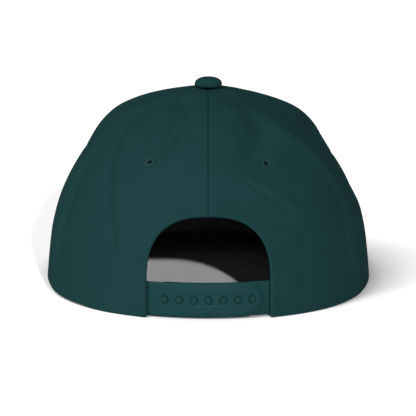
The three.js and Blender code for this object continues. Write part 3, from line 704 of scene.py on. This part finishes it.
for label, side in (("back_left", 1), ("back_right", -1)):
    half_arch = beside(ARCH_LINE, ARCH_ROLL + 0.25)[:len(ARCH_LINE) // 2 + 1]
    edge_z = np.maximum(half_arch[:, 1], RIM_ROLL)
    edge_azimuth, edge_height = seen_from_behind(side * half_arch[:, 0], edge_z)
    seam_heights = share_at(np.linspace(RIM_ROLL, BACK_TIP_LENGTH, 400))
    seam_azimuth = seam_turn(label, seam_heights)
    seam_azimuth = seam_azimuth - side * np.degrees(SEAM_GAP / crown_radius(seam_azimuth, seam_heights))
    arch_side = to_sheet(edge_azimuth, edge_height)
    seam_side = to_sheet(seam_azimuth, seam_heights)
    rim_azimuth = np.linspace(edge_azimuth[0], seam_azimuth[0], 200)
    rim_side = to_sheet(rim_azimuth, np.full(200, edge_height[0]))
    tip = np.linalg.norm(seam_side[-1])
    down = np.linspace(np.linalg.norm(arch_side[-1]), tip, 300)
    bearing = np.radians(seam_azimuth[-1]) * (1 - ease(tip, tip + 5, down)) + side * SEAM_GAP / down
    middle_side = np.column_stack([down * np.sin(bearing), down * np.cos(bearing)])
    u, v = closing(150, 0.6), closing(156, 0.7)
    arch_line, seam_line = evenly(arch_side, v)[:, None], evenly(seam_side, v)[:, None]
    rim_line, top_line = evenly(rim_side, u)[None], evenly(middle_side, u)[None]
    u, v = u[None, :, None], v[:, None, None]
    sheet = (1 - u) * arch_line + u * seam_line + (1 - v) * rim_line + v * top_line
    sheet = sheet - (1 - u) * (1 - v) * arch_side[0] - u * (1 - v) * seam_side[0]
    sheet = sheet - (1 - u) * v * arch_side[-1] - u * v * seam_side[-1]
    azimuth, height = from_sheet(sheet)
    finish_panel(label, azimuth, height, side * BACK_MIDDLE, (ARCH_ROLL, 0.0, 0.0, RIM_ROLL), inner_twill)

# Seam tapes
# Inside, each seam's raw allowance is covered by a plain woven tape, sewn down on both sides. The tapes
# run from the sweatband or the arch up to the middle of the crown.
# Painted light: the tape is near black, but its colour is lifted to a dark grey. The lift stands in for light
# in the shaded inside of the crown.
tape_cloth = twill_material("tape_grey_painted_light", (0.09, 0.09, 0.0905), (0.13, 0.13, 0.131), 0.93, 0.02, pitch=0.9)
TAPE = 0.55
HALF_TAPE = 6.5
UNDER_BUTTON = PANEL_LENGTH - 9
tape_parts = []
for seam, foot in (
        ("middle_back", 59), ("back_left", 30), ("front_left", 28),
        ("middle_front", 28), ("front_right", 28), ("back_right", 30)):
    height = share_at(np.linspace(foot, UNDER_BUTTON, 90))[:, None]
    turn = seam_turn(seam, height)
    radius = crown_radius(turn, height)
    offset = np.linspace(-1, 1, 9)[None] * HALF_TAPE * ease(0, 16, radius)
    azimuth = turn + np.degrees(offset / radius)
    near, _ = crown(azimuth, height + 0 * azimuth, depth=CLOTH, relief=False)
    far, _ = crown(azimuth, height + 0 * azimuth, depth=CLOTH + TAPE, relief=False)
    points, faces, _, source = wrapped(near, far, (0.1, 0.1, 0.1, 0.1))
    uv = np.stack([offset + 0 * azimuth, PANEL_LENGTH * height + 0 * azimuth], -1).reshape(-1, 2)
    tape_parts.append((points, faces, uv[source]))


def together(parts):
    """Several meshes as one: their points, faces and UVs one after another."""
    starts = np.cumsum([0] + [len(part[0]) for part in parts[:-1]])
    points = np.concatenate([part[0] for part in parts])
    faces = [face + start for part, start in zip(parts, starts) for face in part[1]]
    return points, faces, np.concatenate([part[2] for part in parts])


tapes = put_mesh("seam_tapes", *together(tape_parts), [tape_cloth])
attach(tapes, "root")

# Topstitching
# Two rows of lockstitch hold the allowance of each seam, one row the hem of the arch and one the rim. The
# thread is dyed to the cloth and sinks into it a little.
thread, thread_tree, thread_shader = new_material("sewing_thread", 0.6, 0.05)
ply = node(thread_tree, "ShaderNodeTexWave", wave_type="BANDS", bands_direction="DIAGONAL", in_1=14.0)
ply_uv = node(thread_tree, "ShaderNodeUVMap", uv_map="cut")
thread_tree.links.new(ply_uv.outputs[0], ply.inputs["Vector"])
ply_tone = two_tones(thread_tree, ply.outputs[1], (0.0063, 0.0265, 0.0285), (0.0096, 0.038, 0.0402))
thread_tree.links.new(ply_tone, thread_shader.inputs["Base Color"])
bumped(thread_tree, thread_shader, ply.outputs[1], 0.4, 0.06 * MM)


def tube_faces(rings, sides, closed=False):
    """Quads between rings of points, each ring joined to the next, and the last to the first if closed."""
    i, j = np.meshgrid(np.arange(rings - 1 + closed), np.arange(sides), indexing="ij")
    k, m = (i + 1) % rings, (j + 1) % sides
    return np.stack([i * sides + j, i * sides + m, k * sides + m, k * sides + j], -1).reshape(-1, 4)


def stitch_row(line, normal, pitch=3.0, length=2.4, radius=0.18, sink=0.07):
    """Stitches along a line on the cloth: each is a bent bead whose ends dive into the cloth, six rings of
    six points, closed by a face at each end."""
    places = np.arange(pitch, run_length(line)[-1] - pitch / 2, pitch)
    middle = at_length(line, places, line)
    forward = at_length(line, places + pitch / 4, line) - at_length(line, places - pitch / 4, line)
    forward /= np.linalg.norm(forward, axis=1, keepdims=True)
    up = at_length(line, places, normal)
    up /= np.linalg.norm(up, axis=1, keepdims=True)
    aside = np.cross(forward, up)
    run = np.array([-1, -0.8, -0.3, 0.3, 0.8, 1])
    thick = radius * np.array([0.35, 0.85, 1, 1, 0.85, 0.35])
    lift = radius * np.array([-0.9, 0.1, 0.55, 0.55, 0.1, -0.9]) - sink
    angle = np.arange(6) * np.pi / 3
    ring = thick[:, None] * np.cos(angle)[None]
    rise = thick[:, None] * np.sin(angle)[None] * 0.85 + lift[:, None]
    ahead = np.broadcast_to((run * length / 2)[:, None], ring.shape)
    parts = [amount[None, ..., None] * axis[:, None, None] for amount, axis in (
        (ahead, forward), (ring, aside), (rise, up))]
    points = (middle[:, None, None] + sum(parts)).reshape(-1, 3)
    starts = 36 * np.arange(len(places))
    sides = (tube_faces(6, 6)[None] + starts[:, None, None]).reshape(-1, 4)
    first = np.arange(5, -1, -1)[None] + starts[:, None]
    last = np.arange(30, 36)[None] + starts[:, None]
    uv = np.stack([ahead, rise], -1).reshape(-1, 2)
    return points, [*sides, *first, *last], np.tile(uv, (len(places), 1))


def seam_rows():
    """Both rows of every seam, one on each side, from its foot to under the button."""
    for seam, foot in (
            ("middle_back", 61), ("back_left", 6), ("front_left", 6),
            ("middle_front", 6), ("front_right", 6), ("back_right", 6)):
        height = share_at(np.linspace(foot, UNDER_BUTTON, 400))
        turn = seam_turn(seam, height)
        radius = crown_radius(turn, height)
        for side in (-1, 1):
            reach = np.minimum(SEAM_ROW, radius * 0.42)
            yield stitch_row(*crown(turn + side * np.degrees(reach / radius), height))


RIM_ROW_START = 23.5


def hem_rows():
    """One row round the arch, outside its edge, and one round the rim, above it."""
    outside = beside(ARCH_LINE, ARCH_ROW)
    outside = outside[outside[:, 1] > RIM_ROW]
    yield stitch_row(*crown(*seen_from_behind(outside[:, 0], outside[:, 1])))
    azimuth = np.linspace(RIM_ROW_START, 360 - RIM_ROW_START, 1500)
    yield stitch_row(*crown(azimuth, np.full(1500, RIM_ROW / CROWN_HEIGHT)))


stitching = put_mesh("topstitching", *together([*seam_rows(), *hem_rows()]), [thread])
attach(stitching, "root")

# Eyelets
# Each panel has a vent hole edged by machine in satin stitch: a domed ring of dense radial threads that
# goes through the hole and ends in a flatter ring inside.
STRANDS = 44
eyelet_thread, eyelet_tree, eyelet_shader = new_material("eyelet_thread", 0.55, 0.08)
strand_uv = node(eyelet_tree, "ShaderNodeUVMap", uv_map="cut")
strand_split = node(eyelet_tree, "ShaderNodeSeparateXYZ")
eyelet_tree.links.new(strand_uv.outputs[0], strand_split.inputs[0])
strand_turn = maths(eyelet_tree, "MULTIPLY", strand_split.outputs[0], 2 * STRANDS * np.pi)
strand = maths(eyelet_tree, "MULTIPLY_ADD", maths(eyelet_tree, "SINE", strand_turn), 0.5, 0.5)
strand_tone = two_tones(eyelet_tree, strand, (0.0056, 0.0228, 0.0243), (0.0084, 0.0325, 0.0345))
eyelet_tree.links.new(strand_tone, eyelet_shader.inputs["Base Color"])
# The ring's section, from its outer edge over the dome, down the hole and back inside: radius and height
EYELET_PROFILE = np.array([
    [3.15, -0.5], [3.16, -0.1], [3.02, 0.14], [2.7, 0.29], [2.3, 0.36], [1.9, 0.34], [1.5, 0.22],
    [1.22, 0.02], [1.1, -0.3], [1.16, -0.7], [1.42, -1.2], [1.62, -1.8], [1.85, -2.2], [2.3, -2.33],
    [2.8, -2.2], [3.08, -1.9], [3.1, -1.5]])


def facing(normal):
    """The level and the upward direction of a surface, from its normal."""
    up = np.array([0, 0, 1.0]) - normal * normal[2]
    up /= np.linalg.norm(up)
    return np.cross(up, normal), up


def satin_ring(middle, normal, draw):
    """A closed ring: the section turned about the normal, with threads that ripple its dome, each a little
    longer or shorter than the next."""
    aside, up = facing(normal)
    sides = 4 * STRANDS
    angle = np.arange(sides) * 2 * np.pi / sides
    reach = np.interp(angle, np.arange(STRANDS + 1) * 2 * np.pi / STRANDS, np.append(draw, draw[0]))
    ripple = 0.075 * np.abs(np.cos(angle * STRANDS / 2))
    radius = EYELET_PROFILE[:, 0, None] + np.where(EYELET_PROFILE[:, 0, None] > 2.5, reach[None], 0)
    shown = (EYELET_PROFILE[:, 1] > -0.3).astype(float)[:, None]
    height = EYELET_PROFILE[:, 1, None] + shown * ripple[None]
    flat = radius[..., None] * (np.cos(angle)[None, :, None] * aside + np.sin(angle)[None, :, None] * up)
    points = middle + flat + height[..., None] * normal
    uv = np.stack(np.broadcast_arrays(angle[None] / (2 * np.pi), radius), -1)
    return points.reshape(-1, 3), tube_faces(len(EYELET_PROFILE), sides, closed=True), uv.reshape(-1, 2)


chance = np.random.default_rng(7)
for label, place in EYELETS.items():
    middle, normal = crown(*place, relief=False)
    draw = chance.uniform(-0.12, 0.12, STRANDS)
    piece = put_mesh(f"satin_eyelet_{label}", *satin_ring(middle, normal, draw), [eyelet_thread])
    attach(piece, "root")
    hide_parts(f"eyelet_{label}")

# Visor
# A stiff flat board between two faces of the crown's twill, with a turned edge. Eight rows of stitching
# follow its edge through the board.
FIRST_ROW = 5.0
ROW_PITCH = 6.4
VISOR_ROWS = FIRST_ROW + ROW_PITCH * np.arange(8)
ROW_DENT = 0.22
EDGE_ROUND = 1.1
fine_outline = np.column_stack(visor_outline(np.linspace(0, 1, 721)))

round_share = ((1 - np.cos(np.linspace(0, 1, 260) * np.pi)) / 2)[:, None]
inward = np.linspace(0, 1, 96)[None] ** 1.15
azimuth = VISOR_CORNER + round_share * (360 - 2 * VISOR_CORNER)
inner_x, inner_y = on_plan(azimuth, rim_radius(azimuth) - CLOTH + GAP)
outer_x, outer_y = visor_outline(round_share)
edge = EDGE_ROUND / np.maximum(np.hypot(inner_x - outer_x, inner_y - outer_y), 3)
inward = inward * (1 - edge) + edge
visor_x = outer_x + (inner_x - outer_x) * inward
visor_y = outer_y + (inner_y - outer_y) * inward
reach = reach_from(fine_outline, visor_x, visor_y)
dents = sum(ROW_DENT * bell((reach - row) / 0.55) for row in VISOR_ROWS)
quilt = 0.06 * np.cos((reach - FIRST_ROW) / ROW_PITCH * 2 * np.pi) * (reach > 3)
shoulder = 0.5 * bell(reach / 1.6)
top_face = visor_top(visor_x, visor_y) - dents - quilt - shoulder
under_face = visor_top(visor_x, visor_y) - VISOR_THICKNESS + dents + shoulder
top_points = np.stack([visor_x, visor_y, top_face], -1)
under_points = np.stack([visor_x, visor_y, under_face], -1)
points, faces, _, source = wrapped(top_points, under_points, (EDGE_ROUND, 0.0, 0.0, 0.0))
uv = np.stack([visor_x, visor_y], -1).reshape(-1, 2)
visor = put_mesh("visor_cloth", points, faces, uv[source], [crown_twill])
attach(visor, "root")
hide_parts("visor")


def visor_rows():
    """The visor's rows on both faces: the outline moved inwards by each row's distance, up to the crown."""
    for row in VISOR_ROWS:
        line = beside(fine_outline, row)
        bearing = np.degrees(np.arctan2(line[:, 0], line[:, 1]))
        clear = np.hypot(line[:, 0], line[:, 1]) > rim_radius(bearing) + 2.5
        clear &= line[:, 1] < fine_outline[0, 1] - 2
        clear &= reach_from(fine_outline, line[:, 0], line[:, 1]) > row - 0.3
        line = line[clear]
        if len(line) < 30:
            continue
        for face, height in ((1, -ROW_DENT), (-1, ROW_DENT - VISOR_THICKNESS)):
            place = np.column_stack([line, visor_top(line[:, 0], line[:, 1]) + height])
            tilt = np.column_stack([
                2 * VISOR_DROP * line[:, 0] / VISOR_HALF_WIDTH ** 2,
                np.full(len(line), -VISOR_SLOPE), np.ones(len(line))])
            yield stitch_row(place, face * tilt, pitch=3.3, length=2.7, radius=0.23)


visor_stitching = put_mesh("visor_stitching", *together(list(visor_rows())), [thread])
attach(visor_stitching, "root")

# Sweatband
# A folded band of dark cotton twill, sewn round the inside of the rim from one side of the arch to the
# other. It passes over the two fixed ends of the strap.
STRAP_WIDTH = 18.0
STRAP = 1.4
STRAP_FOOT = 1.3
STRAP_RAISE = 0.3
STRAP_DEPTH = CLOTH + GAP
LAYER = STRAP + GAP
OUTER_TIP = 29.0
INNER_TIP = 32.0
ARCH_SIDE = np.degrees(np.arcsin(ARCH_HALF_WIDTH / HALF_LENGTH))
TUCK = 16
TUCK_TURN = np.degrees(TUCK / HALF_LENGTH)
BAND = 1.4
BAND_HEIGHT = 34.0
BAND_FOOT = 0.6
BAND_DROP = 3.2
BAND_SETBACK = 4
BEAD_HEIGHT = 31.0
BEAD = 0.25


def inner_half_depth(azimuth):
    """How much deeper the strap's inner half lies: a layer, until it comes out past the outer half's tip."""
    clear = np.degrees(np.arcsin(OUTER_TIP / HALF_LENGTH)) + 0.5
    return LAYER * (1 - ease(clear, ARCH_SIDE + TUCK_TURN * 0.7, -turn_of(azimuth)))


start = ARCH_SIDE + BAND_SETBACK
azimuth = np.linspace(start, 360 - start, 330)[:, None]
turn = np.abs(turn_of(azimuth))
over_ends = LAYER * (1 - ease(ARCH_SIDE + TUCK_TURN + 1, ARCH_SIDE + 2 * TUCK_TURN, turn))
over_strap = over_ends + np.where(turn_of(azimuth) < 0, inner_half_depth(azimuth), 0)
foot = BAND_FOOT - BAND_DROP * ease(VISOR_CORNER, VISOR_CORNER + 3, turn)
up = np.linspace(0, 1, 22)[None]
rise = foot + up * (BAND_HEIGHT - foot)
share = np.maximum(0, rise) / CROWN_HEIGHT
pinch = BEAD * bell((rise - BEAD_HEIGHT) / 0.6)
band_depth = CLOTH + GAP + over_strap + 0.12 * np.sin(azimuth * 0.9 + 3 * up) * up + pinch
near, _ = crown(azimuth + 0 * share, share, depth=band_depth, relief=False)
far, _ = crown(azimuth + 0 * share, share, depth=band_depth + BAND - 2 * pinch, relief=False)
for face in (near, far):
    face[..., 2] = np.where(rise < BAND_FOOT, rim_height(azimuth) + rise, face[..., 2])
uv = np.stack(np.broadcast_arrays(np.radians(azimuth) * 88, rise), -1).reshape(-1, 2)
points, faces, _, source = wrapped(near, far, (0.0, 0.3, 0.6, 0.3))
# Painted light: the band's cotton is dark, but its colour is given a lighter grey than its own. The lighter
# grey stands in for light in the shaded inside of the crown.
band_cloth = twill_material("band_cloth", (0.066, 0.066, 0.0665), (0.096, 0.096, 0.0965), 0.92, 0.03)
band = put_mesh("sweatband_cloth", points, faces, uv[source], [band_cloth])
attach(band, "root")
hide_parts("sweatband")

# Snap strap
# Two halves moulded in satin plastic. The outer one has a bevelled border and a sunk field with seven
# holes; the pegs of the inner one stand in them. Each half is sewn in between panel and sweatband.
strap_plastic, strap_tree, plastic_shader = new_material("strap_plastic", 0.48, 0.03)
strap_place = node(strap_tree, "ShaderNodeTexCoord")
grain = node(strap_tree, "ShaderNodeTexNoise", in_2=2600.0, in_3=3.0)
flow = node(strap_tree, "ShaderNodeTexNoise", in_2=90.0, in_3=3.0)
for noise in (grain, flow):
    strap_tree.links.new(strap_place.outputs["Object"], noise.inputs["Vector"])
plastic_tone = two_tones(strap_tree, flow.outputs[0], (0.0056, 0.0285, 0.0303), (0.0066, 0.032, 0.034))
strap_tree.links.new(plastic_tone, plastic_shader.inputs["Base Color"])
grain_roughness = maths(strap_tree, "MULTIPLY_ADD", grain.outputs[0], 0.14, 0.42)
strap_tree.links.new(grain_roughness, plastic_shader.inputs["Roughness"])
bumped(strap_tree, plastic_shader, grain.outputs[0], 0.25, 0.04 * MM)
HALF_STRAP = STRAP_WIDTH / 2
SNAP_PITCH = 7.85
SNAP_X = (np.arange(7) - 3) * SNAP_PITCH
SNAP_HOLE = 2.1
FIELD_END = 22.8
FIELD_HALF_WIDTH = 3.35


def ribbon(side, tip, foot, depth_at, relief_at):
    """One half: rows from its sewn end to its round tip, whose half width shrinks as a circle's does, and
    columns across; the outer face carries the relief."""
    straight = np.linspace(ARCH_HALF_WIDTH + TUCK - 2, -(tip - HALF_STRAP), 230)
    bend = np.radians(closing(60, 0.0)[1:] * 87)
    x = side * np.concatenate([straight, -(tip - HALF_STRAP) - HALF_STRAP * np.sin(bend)])
    half = np.concatenate([np.full(len(straight), HALF_STRAP), HALF_STRAP * np.cos(bend)])
    lift = (closing(61, 0.35) * 2 - 1)[None] * half[:, None]
    x = np.broadcast_to(x[:, None], lift.shape)
    centre = foot + HALF_STRAP
    share = (centre + lift) / CROWN_HEIGHT
    azimuth = np.degrees(np.arcsin(x / (HALF_LENGTH - STRAP_DEPTH)))
    depth = depth_at(azimuth)
    past = np.maximum(-(side * x + tip - HALF_STRAP), 0)
    edge = np.where(past > 0, HALF_STRAP - np.hypot(past, lift), HALF_STRAP - np.abs(lift))
    near, _ = crown(azimuth, share, depth=depth - relief_at(x, lift, edge), relief=False)
    far, _ = crown(azimuth, share, depth=depth + STRAP, relief=False)
    points, faces, _, source = wrapped(near, far, (0.12, 0.12, 0.12, 0.0))
    uv = np.stack([x, lift], -1).reshape(-1, 2)
    return points, faces, uv[source]


def outer_relief(x, lift, edge):
    """Border bevel, sunk field with round ends, and two fine steps at the sewn end."""
    field = np.hypot(np.maximum(np.abs(x) - FIELD_END, 0), lift) - FIELD_HALF_WIDTH
    steps = 0.09 * (bell((x - 27.2) / 0.3) + bell((x - 28.6) / 0.3))
    return -0.42 * (1 - ease(0, 1.7, edge)) - 0.3 * (1 - ease(-0.45, 0.1, field)) - steps


def plain_relief(x, lift, edge):
    """Border bevel alone."""
    return -0.3 * (1 - ease(0, 1.2, edge))


snap_height = (STRAP_FOOT + HALF_STRAP) / CROWN_HEIGHT
snap_azimuth = np.degrees(np.arcsin(SNAP_X / (HALF_LENGTH - STRAP_DEPTH)))


def turned(profile, azimuth, sides=48):
    """A closed profile of radius and height over the outer face, turned about the strap's normal."""
    middle, normal = crown(azimuth, snap_height, depth=STRAP_DEPTH, relief=False)
    aside, up = facing(normal)
    angle = np.arange(sides) * 2 * np.pi / sides
    round_it = np.cos(angle)[:, None] * aside + np.sin(angle)[:, None] * up
    profile = np.asarray(profile)
    points = middle + profile[:, 0, None, None] * round_it + profile[:, 1, None, None] * normal
    faces = tube_faces(len(profile), sides)[:, [0, 3, 2, 1]]
    ends = [np.arange(sides), np.arange(sides)[::-1] + (len(profile) - 1) * sides]
    return points.reshape(-1, 3), [*faces, *ends], np.zeros((len(profile) * sides, 2))


def outer_depth(azimuth):
    """Depth of the outer half's face, just inside the panel's cloth."""
    return np.full(np.shape(azimuth), STRAP_DEPTH)


def inner_depth(azimuth):
    """Depth of the inner half's face, a layer deeper where the outer half lies over it."""
    return STRAP_DEPTH + inner_half_depth(azimuth)


outer_ribbon = ribbon(1, OUTER_TIP, STRAP_FOOT, outer_depth, outer_relief)
outer_half = put_mesh("strap_outer_half", *outer_ribbon, [strap_plastic])
punches = put_mesh("punches", *together([
    turned([[SNAP_HOLE, 3], [SNAP_HOLE, -3]], azimuth) for azimuth in snap_azimuth]), [strap_plastic])
cutter = outer_half.modifiers.new("holes", "BOOLEAN")
cutter.operation = "DIFFERENCE"
cutter.solver = "EXACT"
cutter.object = punches
bpy.context.view_layer.update()
cut_mesh = bpy.data.meshes.new_from_object(outer_half.evaluated_get(bpy.context.evaluated_depsgraph_get()))
outer_half.modifiers.clear()
outer_half.data = cut_mesh
bpy.data.objects.remove(punches)
cut_mesh.set_sharp_from_angle(angle=np.radians(40))
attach(outer_half, "root")
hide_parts("strap_holes")

# A peg's section from its root to the dimple in its head: radius and height over the outer face
PEG = [
    [1.7, -1.9], [1.7, 0.05], [1.72, 0.18], [1.62, 0.3], [1.35, 0.36],
    [1.1, 0.33], [0.95, 0.24], [0.5, 0.2], [0.05, 0.19]]
peg_parts = [turned(PEG, azimuth) for azimuth in snap_azimuth]
inner_ribbon = ribbon(-1, INNER_TIP, STRAP_FOOT + STRAP_RAISE, inner_depth, plain_relief)
inner_half = put_mesh("strap_inner_half", *together([inner_ribbon, *peg_parts]), [strap_plastic])
inner_half.data.set_sharp_from_angle(angle=np.radians(40))
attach(inner_half, "root")
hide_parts("strap_pegs")

# Button
# A domed metal button covered with a gathered disc of the crown's twill. Its shank goes through the hole
# where the panels meet and is riveted to a washer inside.
BUTTON_RADIUS = 7.6
BUTTON_RISE = 5.5
BUTTON_SIDES = 120
SHANK_RADIUS = 2.2
WASHER_RADIUS = 6
GATHERS = 11
POLE_RADIUS = 0.02
under = CROWN_HEIGHT + GAP
inside = CROWN_HEIGHT - CLOTH - GAP
dome_turn = np.radians(np.linspace(-18, 90, 34))
dome_radius = BUTTON_RADIUS * np.maximum(np.cos(dome_turn), 1e-4) ** 0.8
dome_height = under + BUTTON_RISE * (0.3 + 0.7 * np.sin(dome_turn))
profile = np.vstack([
    [[POLE_RADIUS, inside - 1], [WASHER_RADIUS, inside - 1.3], [WASHER_RADIUS, inside - 0.5]],
    [[SHANK_RADIUS, inside], [SHANK_RADIUS, under], [5.6, under - 0.1]],
    np.column_stack([dome_radius, dome_height])])
profile[-1, 0] = POLE_RADIUS
angle = np.arange(BUTTON_SIDES) * 2 * np.pi / BUTTON_SIDES
gather = np.where(profile[:, 1] > under - 0.2, bell((profile[:, 1] - under) / 1.6), 0)
gather = gather[:, None] * 0.16 * np.cos(GATHERS * angle)[None]
radius = profile[:, 0, None] + gather * (profile[:, 0, None] > 5)
points = np.stack([
    radius * np.cos(angle)[None], radius * np.sin(angle)[None],
    np.broadcast_to(profile[:, 1, None], radius.shape)], -1).reshape(-1, 3)
button_faces = [
    *tube_faces(len(profile), BUTTON_SIDES), np.arange(BUTTON_SIDES)[::-1],
    np.arange(BUTTON_SIDES) + (len(profile) - 1) * BUTTON_SIDES]
top_button = put_mesh("covered_button", points, button_faces, points[:, :2], [crown_twill])
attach(top_button, "root")
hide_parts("top_button")

# Studio
# The cap rests on a white table, seen from behind and a little above. Two broad lamps light it softly from
# the wearer's left, and a low narrow one shines through the arch on the table inside.
floor_mesh = bpy.data.meshes.new("floor")
floor_mesh.from_pydata([(-6, -6, 0), (6, -6, 0), (6, 6, 0), (-6, 6, 0)], [], [(0, 1, 2, 3)])
floor = bpy.data.objects.new("floor", floor_mesh)
bpy.context.scene.collection.objects.link(floor)
floor_paint, floor_tree, floor_shader = new_material("floor_paint", 0.9, 0.0)
floor_shader.inputs["Base Color"].default_value = (0.9, 0.9, 0.9, 1)
floor_shader.inputs["Emission Color"].default_value = (1, 1, 1, 1)
floor_place = node(floor_tree, "ShaderNodeTexCoord")
footprint = node(floor_tree, "ShaderNodeMapping", vector_type="TEXTURE")
footprint.inputs["Scale"].default_value = (HALF_WIDTH * MM, (HALF_LENGTH + VISOR_REACH / 2) * MM, 1)
floor_tree.links.new(floor_place.outputs["Object"], footprint.inputs["Vector"])
from_cap = node(floor_tree, "ShaderNodeVectorMath", operation="LENGTH")
floor_tree.links.new(footprint.outputs[0], from_cap.inputs[0])
glow = node(floor_tree, "ShaderNodeMapRange", interpolation_type="SMOOTHSTEP", in_1=1.0, in_2=1.12, in_4=0.2)
floor_tree.links.new(from_cap.outputs["Value"], glow.inputs[0])
floor_tree.links.new(glow.outputs[0], floor_shader.inputs["Emission Strength"])
floor_mesh.materials.append(floor_paint)

# The photograph's frame: its size, its focal length and the place of the aim in it, in pixels
IMAGE_PX = 416
FOCAL_PX = 3240
AIM_PX = (208.4, 177.0)
SENSOR = 36
ELEVATION = np.radians(10)
DISTANCE = 1.8
aim = np.array([0, CENTRE_Y * MM, 0.060])
camera_data = bpy.data.cameras.new("camera")
camera_data.sensor_width = SENSOR
camera_data.lens = SENSOR * FOCAL_PX / IMAGE_PX
camera_data.shift_x = (IMAGE_PX / 2 - AIM_PX[0]) / IMAGE_PX
camera_data.shift_y = (AIM_PX[1] - IMAGE_PX / 2) / IMAGE_PX
camera = bpy.data.objects.new("camera", camera_data)
camera.location = aim + DISTANCE * np.array([0, np.cos(ELEVATION), np.sin(ELEVATION)])
camera.rotation_euler = (np.pi / 2 - ELEVATION, 0, np.pi)
bpy.context.scene.collection.objects.link(camera)
bpy.context.scene.camera = camera


def lamp(name, turn, rise, spread_angle, strength):
    """A far lamp shining from an azimuth and an elevation, as wide as the angle it is seen under."""
    data = bpy.data.lights.new(name, "SUN")
    data.angle = np.radians(spread_angle)
    data.energy = strength
    made = bpy.data.objects.new(name, data)
    made.rotation_euler = (np.pi / 2 - np.radians(rise), 0, np.pi - np.radians(turn))
    bpy.context.scene.collection.objects.link(made)


lamp("key", 44, 46, 30, 2.55)
lamp("side", 84, 20, 40, 0.6)
lamp("low", -10.3, 19.2, 1.8, 2.64)
world = bpy.data.worlds.new("surround")
world.use_nodes = True
world.node_tree.nodes["Background"].inputs["Color"].default_value = (1, 1, 1, 1)
world.node_tree.nodes["Background"].inputs["Strength"].default_value = 0.17
bpy.context.scene.world = world
bpy.context.scene.view_settings.view_transform = "Standard"
